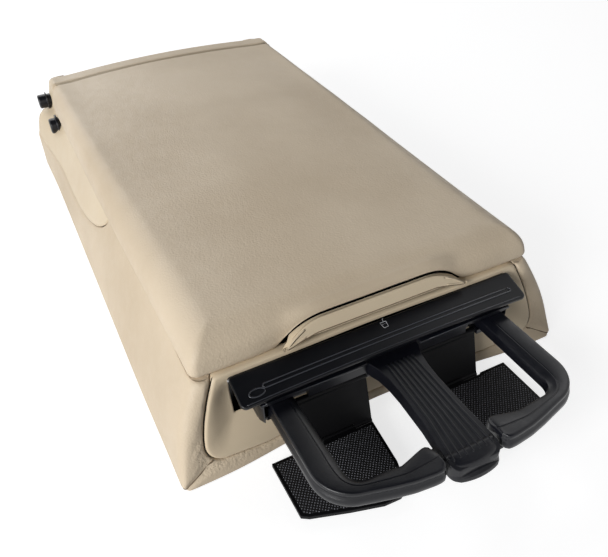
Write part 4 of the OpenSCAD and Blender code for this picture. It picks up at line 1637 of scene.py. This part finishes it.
@dataclass
class LatchHandle:
    """The crescent handle under the lid's front edge, with painted shade in its recess and a painted shadow line under
    its face.
    """

    lid: LidPad
    face_low: float = -6.75
    face_high: float = -2.3
    foot_z: float = 64.9
    low_z: float = 69.0
    end_z: float = 65.6
    shadow_line_r: float = 0.34
    round_r: float = 0.7
    shade_r: float = 0.55
    across: int = 72

    def lower_z(self, x: float) -> float:
        """Returns the height of the handle's lower edge over a distance from the middle."""
        return self.low_z - (self.low_z - self.end_z) * smooth(abs(x), 38, 61)

    def face_y(self, z: float) -> float:
        """Returns where the leaning face is at height z."""
        share = (z - self.foot_z) / (self.lid.handle_top - self.foot_z)
        swell = 0.3 * math.sin(math.pi * min(1.0, max(0.0, share)))
        return self.face_low + (self.face_high - self.face_low) * share - swell

    def crease(self) -> bpy.types.Object:
        """Builds the painted shadow line under the handle's face: a dark tube where the face overhangs."""
        half = self.lid.handle_half - 2.0
        path = []
        for i in range(61):
            x = half * math.sin(math.pi * (i / 60 - 0.5))
            z = self.lower_z(x) - 0.1
            path.append(Drawing.at(x, self.face_y(z) + 0.15, z))
        # Painted shadow: the dark crease leather tube stands for the shade under the face's lower edge.
        return Sheetwork.tube("handle_shadow_line", path, self.shadow_line_r, Finish.CREASE)

    def face(self) -> bpy.types.Object:
        """Builds the handle's moulded face.

        Returns:
            An open mesh.
        """
        half = self.lid.handle_half + 0.15
        rows: list[list[Vector]] = []
        steps: list[tuple[float, float, float]] = [(0.0, 0.0, 3.4), (0.0, 0.0, 0.8), (0.0, 0.2, 0.25)]
        steps.append((0.0, 0.7, 0.0))
        steps += [(0.12 + 0.76 * i / 5, 0.0, 0.0) for i in range(6)]
        turns = [math.radians(a) for a in (0, 25, 50, 70, 90)]
        steps += [(1.0, -self.round_r * (1 - math.sin(a)), self.round_r * (1 - math.cos(a))) for a in turns]
        steps.append((1.0, 0.0, 1.5))
        for part, lift, back in steps:
            row = []
            for i in range(self.across + 1):
                turn = math.pi * (i / self.across - 0.5)
                x = half * math.sin(turn)
                low = self.lower_z(x)
                high = max(low + 0.3, self.lid.handle_z(min(half - 0.2, abs(x))) + 0.3)
                tall = high - low
                z = low + tall * part + lift * min(1.0, tall / 5)
                row.append(Drawing.at(x, self.face_y(z) + back * min(1.0, 0.3 + tall / 5), z))
            rows.append(row)
        return Sheetwork.lattice("handle_face", rows, Finish.PANEL)

    def shade_sheet(self) -> bpy.types.Object:
        """Builds painted shade: a near-black tube in the gap between handle and lid.

        Returns:
            The tube.
        """
        path = []
        count = 80
        half = self.lid.handle_half - 2.5
        for i in range(count + 1):
            x = half * math.sin(math.pi * (i / count - 0.5))
            z = self.lid.handle_z(x) + self.lid.arch_gap * 0.5 + 0.1
            path.append(Drawing.at(x, 0.9, max(z, self.lid.base_z + 0.2)))
        # Painted shade: a near-black tube in the gap under the lid's arch.
        return Sheetwork.tube("handle_recess_shade", path, self.shade_r, Finish.SHADE)

    def dress(self) -> None:
        """Builds the handle face over the CAD handle, the painted shadow line under it and the painted shade in the
        recess above it.
        """
        face = Sheetwork.soften(self.face(), shell=0.8)
        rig.ride(face, "handle")
        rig.slot(face, "beige_plastic")
        crease = self.crease()
        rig.ride(crease, "handle")
        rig.slot(crease, "beige_plastic")
        shade_sheet = self.shade_sheet()
        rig.ride(shade_sheet, "lid")
        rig.slot(shade_sheet, "black_plastic")
        LOG.info("handle face and painted recess shade")


@dataclass
class FlapSkin:
    """The crowned closing flap with its bead and lip line in painted highlight, its lugs and a plain cup pictogram."""

    half: float = 94.5
    depth: float = 20.6
    thick: float = 2.4
    rear_y: float = -5.4
    rear_z: float = 60.7
    slope: float = math.radians(17.3)
    arch: float = 2.3
    rear_r: float = 2.2
    front_r: float = 3.4
    bead_v: float = 12.2
    bead_ends: Pair = (-78.0, 86.0)
    bead_r: float = 1.35
    line_r: float = 0.5
    oval: tuple[float, float, float, float] = (-83.6, 14.4, 4.6, 2.3)
    sign: Pair = (1.2, 3.5)
    sign_size: float = 5.6
    sign_line: float = 0.17
    lug: tuple[Pair, ...] = ((-7.6, 57.6), (-5.0, 58.9), (-1.6, 57.5), (-1.6, 54.9), (-4.6, 54.9))
    lug_x: Pair = (87.7, 90.5)

    def at(self, x: float, v: float, w: float) -> Vector:
        """Returns a point given on the flap.

        Args:
            x: Distance to the right of the middle.
            v: Distance forward from the flap's rear edge.
            w: Height above its upper face.

        Returns:
            The point in the CAD frame.
        """
        crown = self.arch * (1 - (x / self.half) ** 2) * v / self.depth
        y = self.rear_y - v * math.cos(self.slope) - w * math.sin(self.slope)
        return Drawing.at(x, y, self.rear_z - v * math.sin(self.slope) + w * math.cos(self.slope) + crown)

    def outline(self, inset: float) -> list[Pair]:
        """Returns the flap's rounded outline in x and v, moved in by inset."""
        half, rear, front = self.half - inset, inset, self.depth - inset
        back_r, fore_r = max(0.3, self.rear_r - inset), max(0.3, self.front_r - inset)
        points = arc((half - back_r, rear + back_r), back_r, -90, 0, 6)
        points += arc((half - fore_r, front - fore_r), fore_r, 0, 90, 6)
        span = 2 * (half - fore_r)
        points += [(half - fore_r - span * i / 40, front) for i in range(1, 40)]
        points += arc((-half + fore_r, front - fore_r), fore_r, 90, 180, 6)
        points += arc((-half + back_r, rear + back_r), back_r, 180, 270, 6)
        span = 2 * (half - back_r)
        return points + [(-half + back_r + span * i / 40, rear) for i in range(1, 40)]

    def mesh(self) -> bpy.types.Object:
        """Builds the flap as a thin rounded slab."""
        edge = [(2.5, -self.thick), (0.5, -self.thick), (0.0, -self.thick + 0.5), (0.0, -1.0),
                (0.12, -0.5), (0.42, -0.14), (0.95, 0.0)]
        rows = [[self.at(x, v, w) for x, v in self.outline(inset)] for inset, w in edge]
        inner = self.outline(0.95)
        for share in (0.1, 0.3, 0.5, 0.7, 0.86, 0.97):
            middle = self.depth / 2
            rows.append([self.at(x * (1 - 0.07 * share), v + (middle - v) * share, 0.0) for x, v in inner])
        return Sheetwork.lattice("flap_skin", rows, Finish.FLAP, ring=True, caps=True, flip=True)

    def marks(self) -> list[bpy.types.Object]:
        """Builds the bead and the oval at its left end, both painted lighter as painted highlights, the painted
        highlight along the lip, the lugs and the pictogram.

        Returns:
            The pieces.
        """
        left, right = self.bead_ends
        steps = [i / 30 for i in range(1, 30)]
        bead = arc((right, self.bead_v), self.bead_r, -90, 90, 6)
        bead += [(right + (left - right) * i, self.bead_v + self.bead_r) for i in steps]
        bead += arc((left, self.bead_v), self.bead_r, 90, 270, 6)
        bead += [(left + (right - left) * i, self.bead_v - self.bead_r) for i in [*steps, 1.0]]
        lip = [(self.half * (i / 30 - 1) * 0.97, self.depth - 1.5) for i in range(61)]
        # The bead is a real raised rib, painted lighter as a painted highlight; the lip tube is only a painted
        # highlight along the front edge.
        made = [Sheetwork.tube("flap_bead", [self.at(x, v, 0.1) for x, v in bead], self.line_r, Finish.GLOSS)]
        made.append(Sheetwork.tube("flap_lip_highlight", [self.at(x, v, 0.0) for x, v in lip], 0.3, Finish.GLOSS))
        cx, cv, rx, rv = self.oval
        oval = [(cx + rx * math.cos(math.radians(a)), cv + rv * math.sin(math.radians(a)))
                for a in range(0, 361, 15)]
        path = [self.at(x, v, 0.1) for x, v in oval]
        # The oval ring is painted lighter too, as a painted highlight.
        made.append(Sheetwork.tube("flap_oval", path, self.line_r, Finish.GLOSS))
        for side in (-1, 1):
            rows = [[Drawing.at(side * x, y, z) for y, z in self.lug] for x in self.lug_x]
            name = "flap_lug_left" if side < 0 else "flap_lug_right"
            made.append(Sheetwork.lattice(name, rows, Finish.FLAP, ring=True, caps=True, flip=side > 0))
        lines = {
            "sign_cup": [(-0.36, -0.22), (-0.26, 0.5), (0.26, 0.5), (0.36, -0.22), (-0.36, -0.22)],
            "sign_band": [(-0.31, 0.05), (0.31, 0.05)],
            "sign_straw": [(0.02, -0.22), (0.16, -0.62), (0.34, -0.66)],
        }
        size = self.sign_size
        for name, corners in lines.items():
            path = [self.at(self.sign[0] + u * size, self.sign[1] + v * size, 0.06) for u, v in corners]
            made.append(Sheetwork.tube(name, path, self.sign_line, Finish.SIGN, sides=6))
        return made

    def dress(self) -> None:
        """Builds the flap and its marks in the CAD flap's place."""
        skin = self.mesh()
        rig.replaces(skin, "flap")
        for piece in [skin, *self.marks()]:
            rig.ride(piece, "flap")
            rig.slot(piece, "black_satin")
        LOG.info("closing flap with bead and pictogram")


@dataclass
class CupArm:
    """One of the two hooked arms that grip a cup."""

    side: int
    inner: float = 63.5
    outer: float = 78.3
    low: float = 37.6
    high: float = 47.2
    root: float = -9.0
    bend_r: float = 22.0
    bend_y: float = -70.0
    inner_r: float = 9.0
    inner_y: float = -75.0
    tip_x: float = 18.2
    ridge: Pair = (0.31, 0.57)
    drop: float = 2.3
    lip: float = 1.0
    count: int = 72

    def paths(self) -> tuple[list[Pair], list[Pair]]:
        """Returns the inner and the outer line of the arm in plan, with matching points."""
        inside = [(self.inner, self.root), (self.inner, self.inner_y)]
        inside += arc((self.inner - self.inner_r, self.inner_y), self.inner_r, 0, -90, 10)
        inside += [(44.0, -84.6), (36.3, -85.4), (30.7, -83.9), (24.9, -82.2), (22.0, -81.5)]
        inside += arc((self.tip_x + 2.6, -84.0), 2.6, 80, 180, 6)
        centre = (self.outer + 0.4 - self.bend_r, self.bend_y)
        outside = [(self.outer, self.root), (self.outer + 0.4, self.bend_y)]
        outside += arc(centre, self.bend_r, 0, -78, 14)[1:] + [(46.0, -95.6), (36.0, -97.8), (24.6, -99.0)]
        outside += arc((self.tip_x + 3.4, -95.6), 3.4, -75, -180, 6)
        return spread(inside, self.count), spread(outside, self.count)

    def section(self, width: float, along: float) -> list[Pair]:
        """Returns the closed cross-section, with the ridge and the lower lip.

        Args:
            width: Width of the arm there.
            along: Share of the way from the root to the tip.

        Returns:
            Points: distance from the inner line and height.
        """
        low, high, step = self.low, self.high, self.high - self.drop
        ridge = width * (self.ridge[0] + (self.ridge[1] - self.ridge[0]) * smooth(along, 0.42, 0.75))
        points = [(0.6, low), (0.15, low + 0.25), (0.0, low + 0.8), (0.0, low + 3.0), (0.0, step - 2.6)]
        points += [(1.4 + x, step - 1.4 + z) for x, z in arc((0, 0), 1.4, 180, 100, 5)]
        points += [(ridge - 0.7, high - 0.25), (ridge - 0.25, high - 0.3), (ridge, high - 0.5),
                   (ridge + 0.3, high - 0.12)]
        points += [(ridge + 0.7, high), (width - 2.2, high - 0.15)]
        points += [(width - 1.2 + x, high - 1.2 + z) for x, z in arc((0, 0), 1.2, 80, 10, 4)]
        points += [(width, high - 1.7), (width - 0.1, high - 2.6), (width - 0.4, high - 3.2),
                   (width - 0.35, high - 3.8)]
        points += [(width + self.lip * 0.5, high - 4.8), (width + self.lip, high - 6.0),
                   (width + self.lip, low + 1.4)]
        return points + [(width + self.lip * 0.7, low + 0.5), (width, low)]

    def mesh(self) -> bpy.types.Object:
        """Builds the arm.

        Returns:
            A closed mesh.
        """
        inside, outside = self.paths()
        last = self.count - 1
        ends = [(0, 1.0, 0.0), (0, 0.3, 0.0)] + [(i, 0.0, 0.0) for i in range(self.count)]
        ends += [(last, 0.35, 0.35), (last, 1.0, 0.7), (last, 2.2, 0.9)]
        rows = []
        for i, inset, out in ends:
            (ix, iy), (ox, oy) = inside[i], outside[i]
            width = math.dist((ix, iy), (ox, oy))
            dx, dy = (ox - ix) / width, (oy - iy) / width
            row = []
            for across, z in self.section(width, i / last):
                near = min(width + self.lip - inset, max(inset, across))
                level = min(self.high - inset, max(self.low + inset, z))
                row.append(Drawing.at(self.side * (ix + dx * near - out), iy + dy * near, level))
            rows.append(row)
        name = "cup_arm_left" if self.side < 0 else "cup_arm_right"
        return Sheetwork.lattice(name, rows, Finish.BLACK, ring=True, caps=True, flip=self.side < 0)

    def dress(self) -> None:
        """Builds the arm in the CAD arm's place."""
        word = "left" if self.side < 0 else "right"
        arm = self.mesh()
        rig.ride(arm, word + "_arm")
        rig.replaces(arm, "arm_" + word)
        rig.slot(arm, "black_plastic")
        LOG.info("cup arm %s", word)


@dataclass
class CarriageTrim:
    """The rounded end of the centre arm and the closed corners of the carriage."""

    tip_half: float = 15.4
    tip_rear: float = -91.0
    tip_front: float = -104.3
    tip_bow: float = 0.013
    top_z: float = 44.6
    front_z: float = 43.7
    low_z: float = 33.6
    lean: float = 4.2
    corner: tuple[Pair, ...] = ((81.6, -22.6), (82.3, -22.2), (83.9, -18.6), (83.9, -4.0), (80.4, -4.0),
                                (80.8, -13.0))
    corner_z: Pair = (34.2, 49.3)
    brow: tuple[Pair, ...] = ((-22.9, 49.4), (-6.0, 49.4), (-6.0, 47.7), (-22.9, 47.7))
    brow_x: Pair = (18.0, 83.9)
    web: tuple[Pair, ...] = ((-13.0, 47.6), (-6.0, 47.6), (-6.0, 33.6), (-13.0, 33.6))
    web_x: Pair = (49.6, 62.4)

    def front(self, x: float, z: float) -> float:
        """Returns where the tip's leaning front face is.

        Args:
            x: Distance from the middle.
            z: Height above the underside.

        Returns:
            The face's y in millimetres.
        """
        out = max(0.0, abs(x) - self.tip_half + 5.0)
        turn = 5.0 - math.sqrt(max(0.0, 25.0 - out * out))
        leaning = self.lean * (z - self.low_z) / (self.front_z - self.low_z)
        return self.tip_front + self.tip_bow * x * x + leaning + turn

    def ring(self, y: float | None, inset: float, back: float) -> list[Vector]:
        """Returns a ring round the tip.

        Args:
            y: Where the ring is, or None for the front face.
            inset: How far the ring is moved in.
            back: Distance behind the front face.

        Returns:
            The ring's points.
        """
        half = self.tip_half - inset
        if y is not None:
            half = 14.6 + (self.tip_half - 14.6) * smooth(y, self.tip_rear, self.tip_rear - 6) - inset
        top = self.front_z if y is None else self.top_z + (self.front_z - self.top_z) * smooth(y, -93, -99)
        low = self.low_z + (0.0 if y is None else 1.2 * smooth(y, -98, -91))
        high, low, r = top - inset, low + inset, 1.2
        shape = arc((half - r, high - r), r, 0, 90, 4)
        shape += [((half - r) * (1 - i / 6), high) for i in range(1, 12)]
        shape += arc((-half + r, high - r), r, 90, 180, 4) + [(-half, (high + low) / 2)]
        shape += arc((-half + r, low + r), r, 180, 270, 4)
        shape += [((half - r) * (i / 6 - 1), low) for i in range(1, 12)]
        shape += arc((half - r, low + r), r, 270, 360, 4) + [(half, (high + low) / 2)]
        if y is None:
            return [Drawing.at(x, self.front(x, z) + back, z) for x, z in shape]
        return [Drawing.at(x, max(y, self.front(x, z) + 2.4), z) for x, z in shape]

    def dress(self) -> None:
        """Builds the tip, the two corners and the brow over the arms, with painted highlight lines along the brow's
        front edges.
        """
        rows = [self.ring(y, 0.0, 0.0) for y in (self.tip_rear, -93.0, -95.0, -97.0)]
        rows += [self.ring(None, inset, back) for inset, back in
                 ((0.0, 1.6), (0.15, 0.8), (0.6, 0.2), (1.3, 0.0), (2.6, 0.0))]
        pieces = [Sheetwork.lattice("centre_arm_tip", rows, Finish.BLACK, ring=True, caps=True, flip=True)]
        for side in (-1, 1):
            name = "carriage_corner_left" if side < 0 else "carriage_corner_right"
            rows = [[Drawing.at(side * x, y, z) for x, y in self.corner] for z in self.corner_z]
            piece = Sheetwork.lattice(name, rows, Finish.BLACK, ring=True, caps=True, flip=side < 0)
            pieces.append(Sheetwork.soften(piece, bevel=0.4))
            for part, shape, reach in (("brow", self.brow, self.brow_x), ("web", self.web, self.web_x)):
                name = f"carriage_{part}_left" if side < 0 else f"carriage_{part}_right"
                rows = [[Drawing.at(side * x, y, z) for y, z in shape] for x in reach]
                piece = Sheetwork.lattice(name, rows, Finish.BLACK, ring=True, caps=True, flip=side > 0)
                pieces.append(Sheetwork.soften(piece, bevel=0.4))
            # Painted highlight: a thin light tube along the brow's front top edge.
            edge_y, edge_z = self.brow[0][0] + 0.1, self.brow[0][1] - 0.1
            edge = [Drawing.at(side * x, edge_y, edge_z) for x in (24.0, 50.0, 83.4)]
            name = "brow_edge_highlight_left" if side < 0 else "brow_edge_highlight_right"
            pieces.append(Sheetwork.tube(name, edge, 0.3, Finish.GLOSS))
        for piece in pieces:
            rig.ride(piece, "carriage")
            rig.slot(piece, "black_plastic")
        LOG.info("centre arm tip and carriage corners")


@dataclass
class Trim:
    """CAD nodes that stay in sight, with their finishes."""

    panels: tuple[str, ...] = ("rear_closure", "latch_handle")
    hanging: tuple[str, ...] = ("rest_link_left", "rest_link_right", "rest_plate_left", "rest_plate_right")
    black: tuple[str, ...] = (
        "tub", "cup_housing", "front_shelf", "lid_board", "carriage", "centre_arm",
        "pivot_pin_left", "pivot_pin_right", "guide_pin_left", "guide_pin_right")
    satin: tuple[str, ...] = ("damper_body", "push_catch")
    steel: tuple[str, ...] = (
        "striker", "pivot_bracket_left", "pivot_bracket_right", "bracket_screws", "shelf_screws",
        "hinge_leaf_base", "lid_hinge_pin", "hinge_leaf_lid", "latch_pin", "latch_spring",
        "flap_pin_left", "flap_pin_right", "arm_spring_left", "arm_spring_right",
        "link_pin_left", "link_pin_right", "plate_pin_left", "plate_pin_right")

    def dress(self) -> None:
        """Gives each node its finish and rounded edges."""
        for name in self.panels:
            Sheetwork.node(name, Finish.PANEL, 0.5, 28)
        for name in self.black:
            Sheetwork.node(name, Finish.BLACK, 0.9 if name.startswith("centre") else 0.35)
        for name in self.satin:
            Sheetwork.node(name, Finish.SATIN, 0.35)
        for name in self.hanging:
            Sheetwork.node(name, Finish.MATT, 0.35)
        for name in self.steel:
            Sheetwork.node(name, Finish.STEEL, 0.15)
        for name in ("arm_pin_left", "arm_pin_right"):
            Sheetwork.node(name, Finish.BLACK, 0.25)
        for name in ("rest_mat_left", "rest_mat_right"):
            Sheetwork.node(name, Finish.MAT, 0.25)
        Sheetwork.node("damper_gear", Finish.GEAR, 0.15)
        Sheetwork.node("lid_buffers", Finish.RUBBER, 0.4)


@dataclass
class Studio:
    """Floor, light and camera."""

    camera_x: float = -0.15590
    camera_y: float = -0.40002
    camera_z: float = 0.31309
    right: Tone = (0.89284973, -0.44904991, -0.03425707)
    up: Tone = (0.30344794, 0.54365002, 0.7825369)
    focal_px: float = 641.393
    centre_px: Pair = (303.277, 277.761)
    picture: Pair = (608.0, 557.0)
    sensor: float = 36.0
    lamps: tuple[tuple[str, Tone, float, float], ...] = (
        ("key", (-1.5, -0.8, 0.68), 0.9, 28.8),
        ("rear", (-0.3, 1.2, 0.9), 1.0, 8.6),
        ("right", (1.35, 0.82, 1.5), 0.5, 2.2),
    )

    def camera(self) -> None:
        """Sets the camera where the photograph was taken."""
        data = bpy.data.cameras.new("camera")
        data.sensor_fit = "HORIZONTAL"
        data.sensor_width = self.sensor
        data.lens = self.focal_px / self.picture[0] * self.sensor
        data.shift_x = (self.picture[0] / 2 - self.centre_px[0]) / self.picture[0]
        data.shift_y = (self.centre_px[1] - self.picture[1] / 2) / self.picture[0]
        data.clip_start = 0.01
        data.clip_end = 50.0
        camera = bpy.data.objects.new("camera", data)
        bpy.context.scene.collection.objects.link(camera)
        right, up = Vector(self.right).normalized(), Vector(self.up).normalized()
        back = right.cross(up).normalized()
        turn = Matrix((right, up, back)).transposed().to_4x4()
        camera.matrix_world = Matrix.Translation((self.camera_x, self.camera_y, self.camera_z)) @ turn
        bpy.context.scene.camera = camera

    def lamp(self, name: str, place: Tone, size: float, power: float) -> None:
        """Adds a soft square lamp that faces the armrest.

        Args:
            name: Name of the lamp.
            place: Where it stands, in metres.
            size: Length of its side in metres.
            power: Its power in watts.
        """
        data = bpy.data.lights.new(name, "AREA")
        data.shape = "SQUARE"
        data.size = size
        data.energy = power
        lamp = bpy.data.objects.new(name, data)
        bpy.context.scene.collection.objects.link(lamp)
        lamp.location = place
        lamp.rotation_euler = (-Vector(place)).to_track_quat("-Z", "Y").to_euler()

    def sky(self, level: float) -> None:
        """Lights the scene evenly and shows white behind it.

        Args:
            level: Level of the even light.
        """
        world = bpy.data.worlds.new("studio")
        bpy.context.scene.world = world
        world.use_nodes = True
        tree = world.node_tree
        tree.nodes.clear()
        rays = tree.nodes.new("ShaderNodeLightPath")
        seen = self.seen(tree, rays)
        strength = tree.nodes.new("ShaderNodeMapRange")
        tree.links.new(seen, strength.inputs[0])
        strength.inputs[3].default_value = level
        strength.inputs[4].default_value = 1.0
        light = tree.nodes.new("ShaderNodeBackground")
        light.inputs[0].default_value = (1.0, 1.0, 1.0, 1.0)
        tree.links.new(strength.outputs[0], light.inputs[1])
        output = tree.nodes.new("ShaderNodeOutputWorld")
        tree.links.new(light.outputs[0], output.inputs[0])

    @staticmethod
    def seen(tree: bpy.types.NodeTree, rays: bpy.types.Node) -> bpy.types.NodeSocket:
        """Returns 1 for rays from the camera or through gloss and glass.

        Args:
            tree: The node tree.
            rays: Its light path node.

        Returns:
            The socket with that value.
        """
        value = rays.outputs["Is Camera Ray"]
        for name in ("Is Glossy Ray", "Is Transmission Ray"):
            join = tree.nodes.new("ShaderNodeMath")
            join.operation = "MAXIMUM"
            tree.links.new(value, join.inputs[0])
            tree.links.new(rays.outputs[name], join.inputs[1])
            value = join.outputs[0]
        return value

    def floor(self) -> None:
        """Lays the pale floor, which keeps the armrest's shadow."""
        size = 3.0
        data = bpy.data.meshes.new("floor")
        corners = [(-size, -size, 0), (size, -size, 0), (size, size, 0), (-size, size, 0)]
        data.from_pydata([Vector(c) + Vector((0, 0, -0.0004)) for c in corners], [], [(0, 1, 2, 3)])
        plate = bpy.data.objects.new("floor", data)
        bpy.context.scene.collection.objects.link(plate)
        material = bpy.data.materials.new("pale floor")
        material.use_nodes = True
        tree = material.node_tree
        tree.nodes.clear()
        rays = tree.nodes.new("ShaderNodeLightPath")
        glow = tree.nodes.new("ShaderNodeEmission")
        level = tree.nodes.new("ShaderNodeMath")
        level.operation = "MULTIPLY"
        tree.links.new(self.seen(tree, rays), level.inputs[0])
        level.inputs[1].default_value = 0.74
        tree.links.new(level.outputs[0], glow.inputs[1])
        paint = tree.nodes.new("ShaderNodeBsdfDiffuse")
        paint.inputs[0].default_value = (0.5, 0.5, 0.5, 1.0)
        both = tree.nodes.new("ShaderNodeAddShader")
        tree.links.new(glow.outputs[0], both.inputs[0])
        tree.links.new(paint.outputs[0], both.inputs[1])
        output = tree.nodes.new("ShaderNodeOutputMaterial")
        tree.links.new(both.outputs[0], output.inputs[0])
        data.materials.append(material)
        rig.stage(plate)

    def ceiling(self, level: float) -> None:
        """Hangs a grey screen above the armrest, which the dark plastic mirrors.

        Args:
            level: Brightness of the screen.
        """
        data = bpy.data.meshes.new("ceiling")
        corners = [(-2.6, -2.2, 1.9), (1.25, -2.2, 1.9), (1.25, 3.0, 1.9), (-2.6, 3.0, 1.9)]
        data.from_pydata(corners, [], [(0, 1, 2, 3)])
        screen = bpy.data.objects.new("ceiling", data)
        bpy.context.scene.collection.objects.link(screen)
        screen.visible_camera = False
        material = bpy.data.materials.new("grey screen")
        material.use_nodes = True
        tree = material.node_tree
        tree.nodes.clear()
        glow = tree.nodes.new("ShaderNodeEmission")
        glow.inputs[0].default_value = (0.86, 0.93, 1.1, 1.0)
        glow.inputs[1].default_value = level
        output = tree.nodes.new("ShaderNodeOutputMaterial")
        tree.links.new(glow.outputs[0], output.inputs[0])
        data.materials.append(material)
        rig.stage(screen)

    def build(self) -> None:
        """Sets up the whole studio."""
        bpy.context.scene.view_settings.view_transform = "Standard"
        self.camera()
        self.sky(0.2)
        for name, place, size, power in self.lamps:
            self.lamp(name, place, size, power)
        self.floor()
        self.ceiling(0.07)


def box_numbers() -> list[list[float]]:
    """Returns the shown object's lowest and highest corner as plain lists."""
    low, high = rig.bounds()
    return [list(low), list(high)]


def main() -> None:
    """Builds the armrest's looks in order and writes the CAD box and the shown box to extents.json."""
    logging.basicConfig(level=logging.INFO, format="%(name)s: %(message)s")
    cad_box = box_numbers()
    Studio().build()
    form = BodyForm()
    body = LeatherBody(form)
    body.dress()
    for side in (-1, 1):
        SidePanel(form, side).dress()
    lid = LidPad()
    lid.dress()
    RearStrip(lid).dress()
    Bezel(body, form).dress()
    LatchHandle(lid).dress()
    FlapSkin().dress()
    for side in (-1, 1):
        CupArm(side).dress()
    CarriageTrim().dress()
    Trim().dress()
    with open("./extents.json", "w") as file:
        json.dump({"cad_box": cad_box, "visual_box": box_numbers()}, file)


if __name__ == "__main__":
    main()
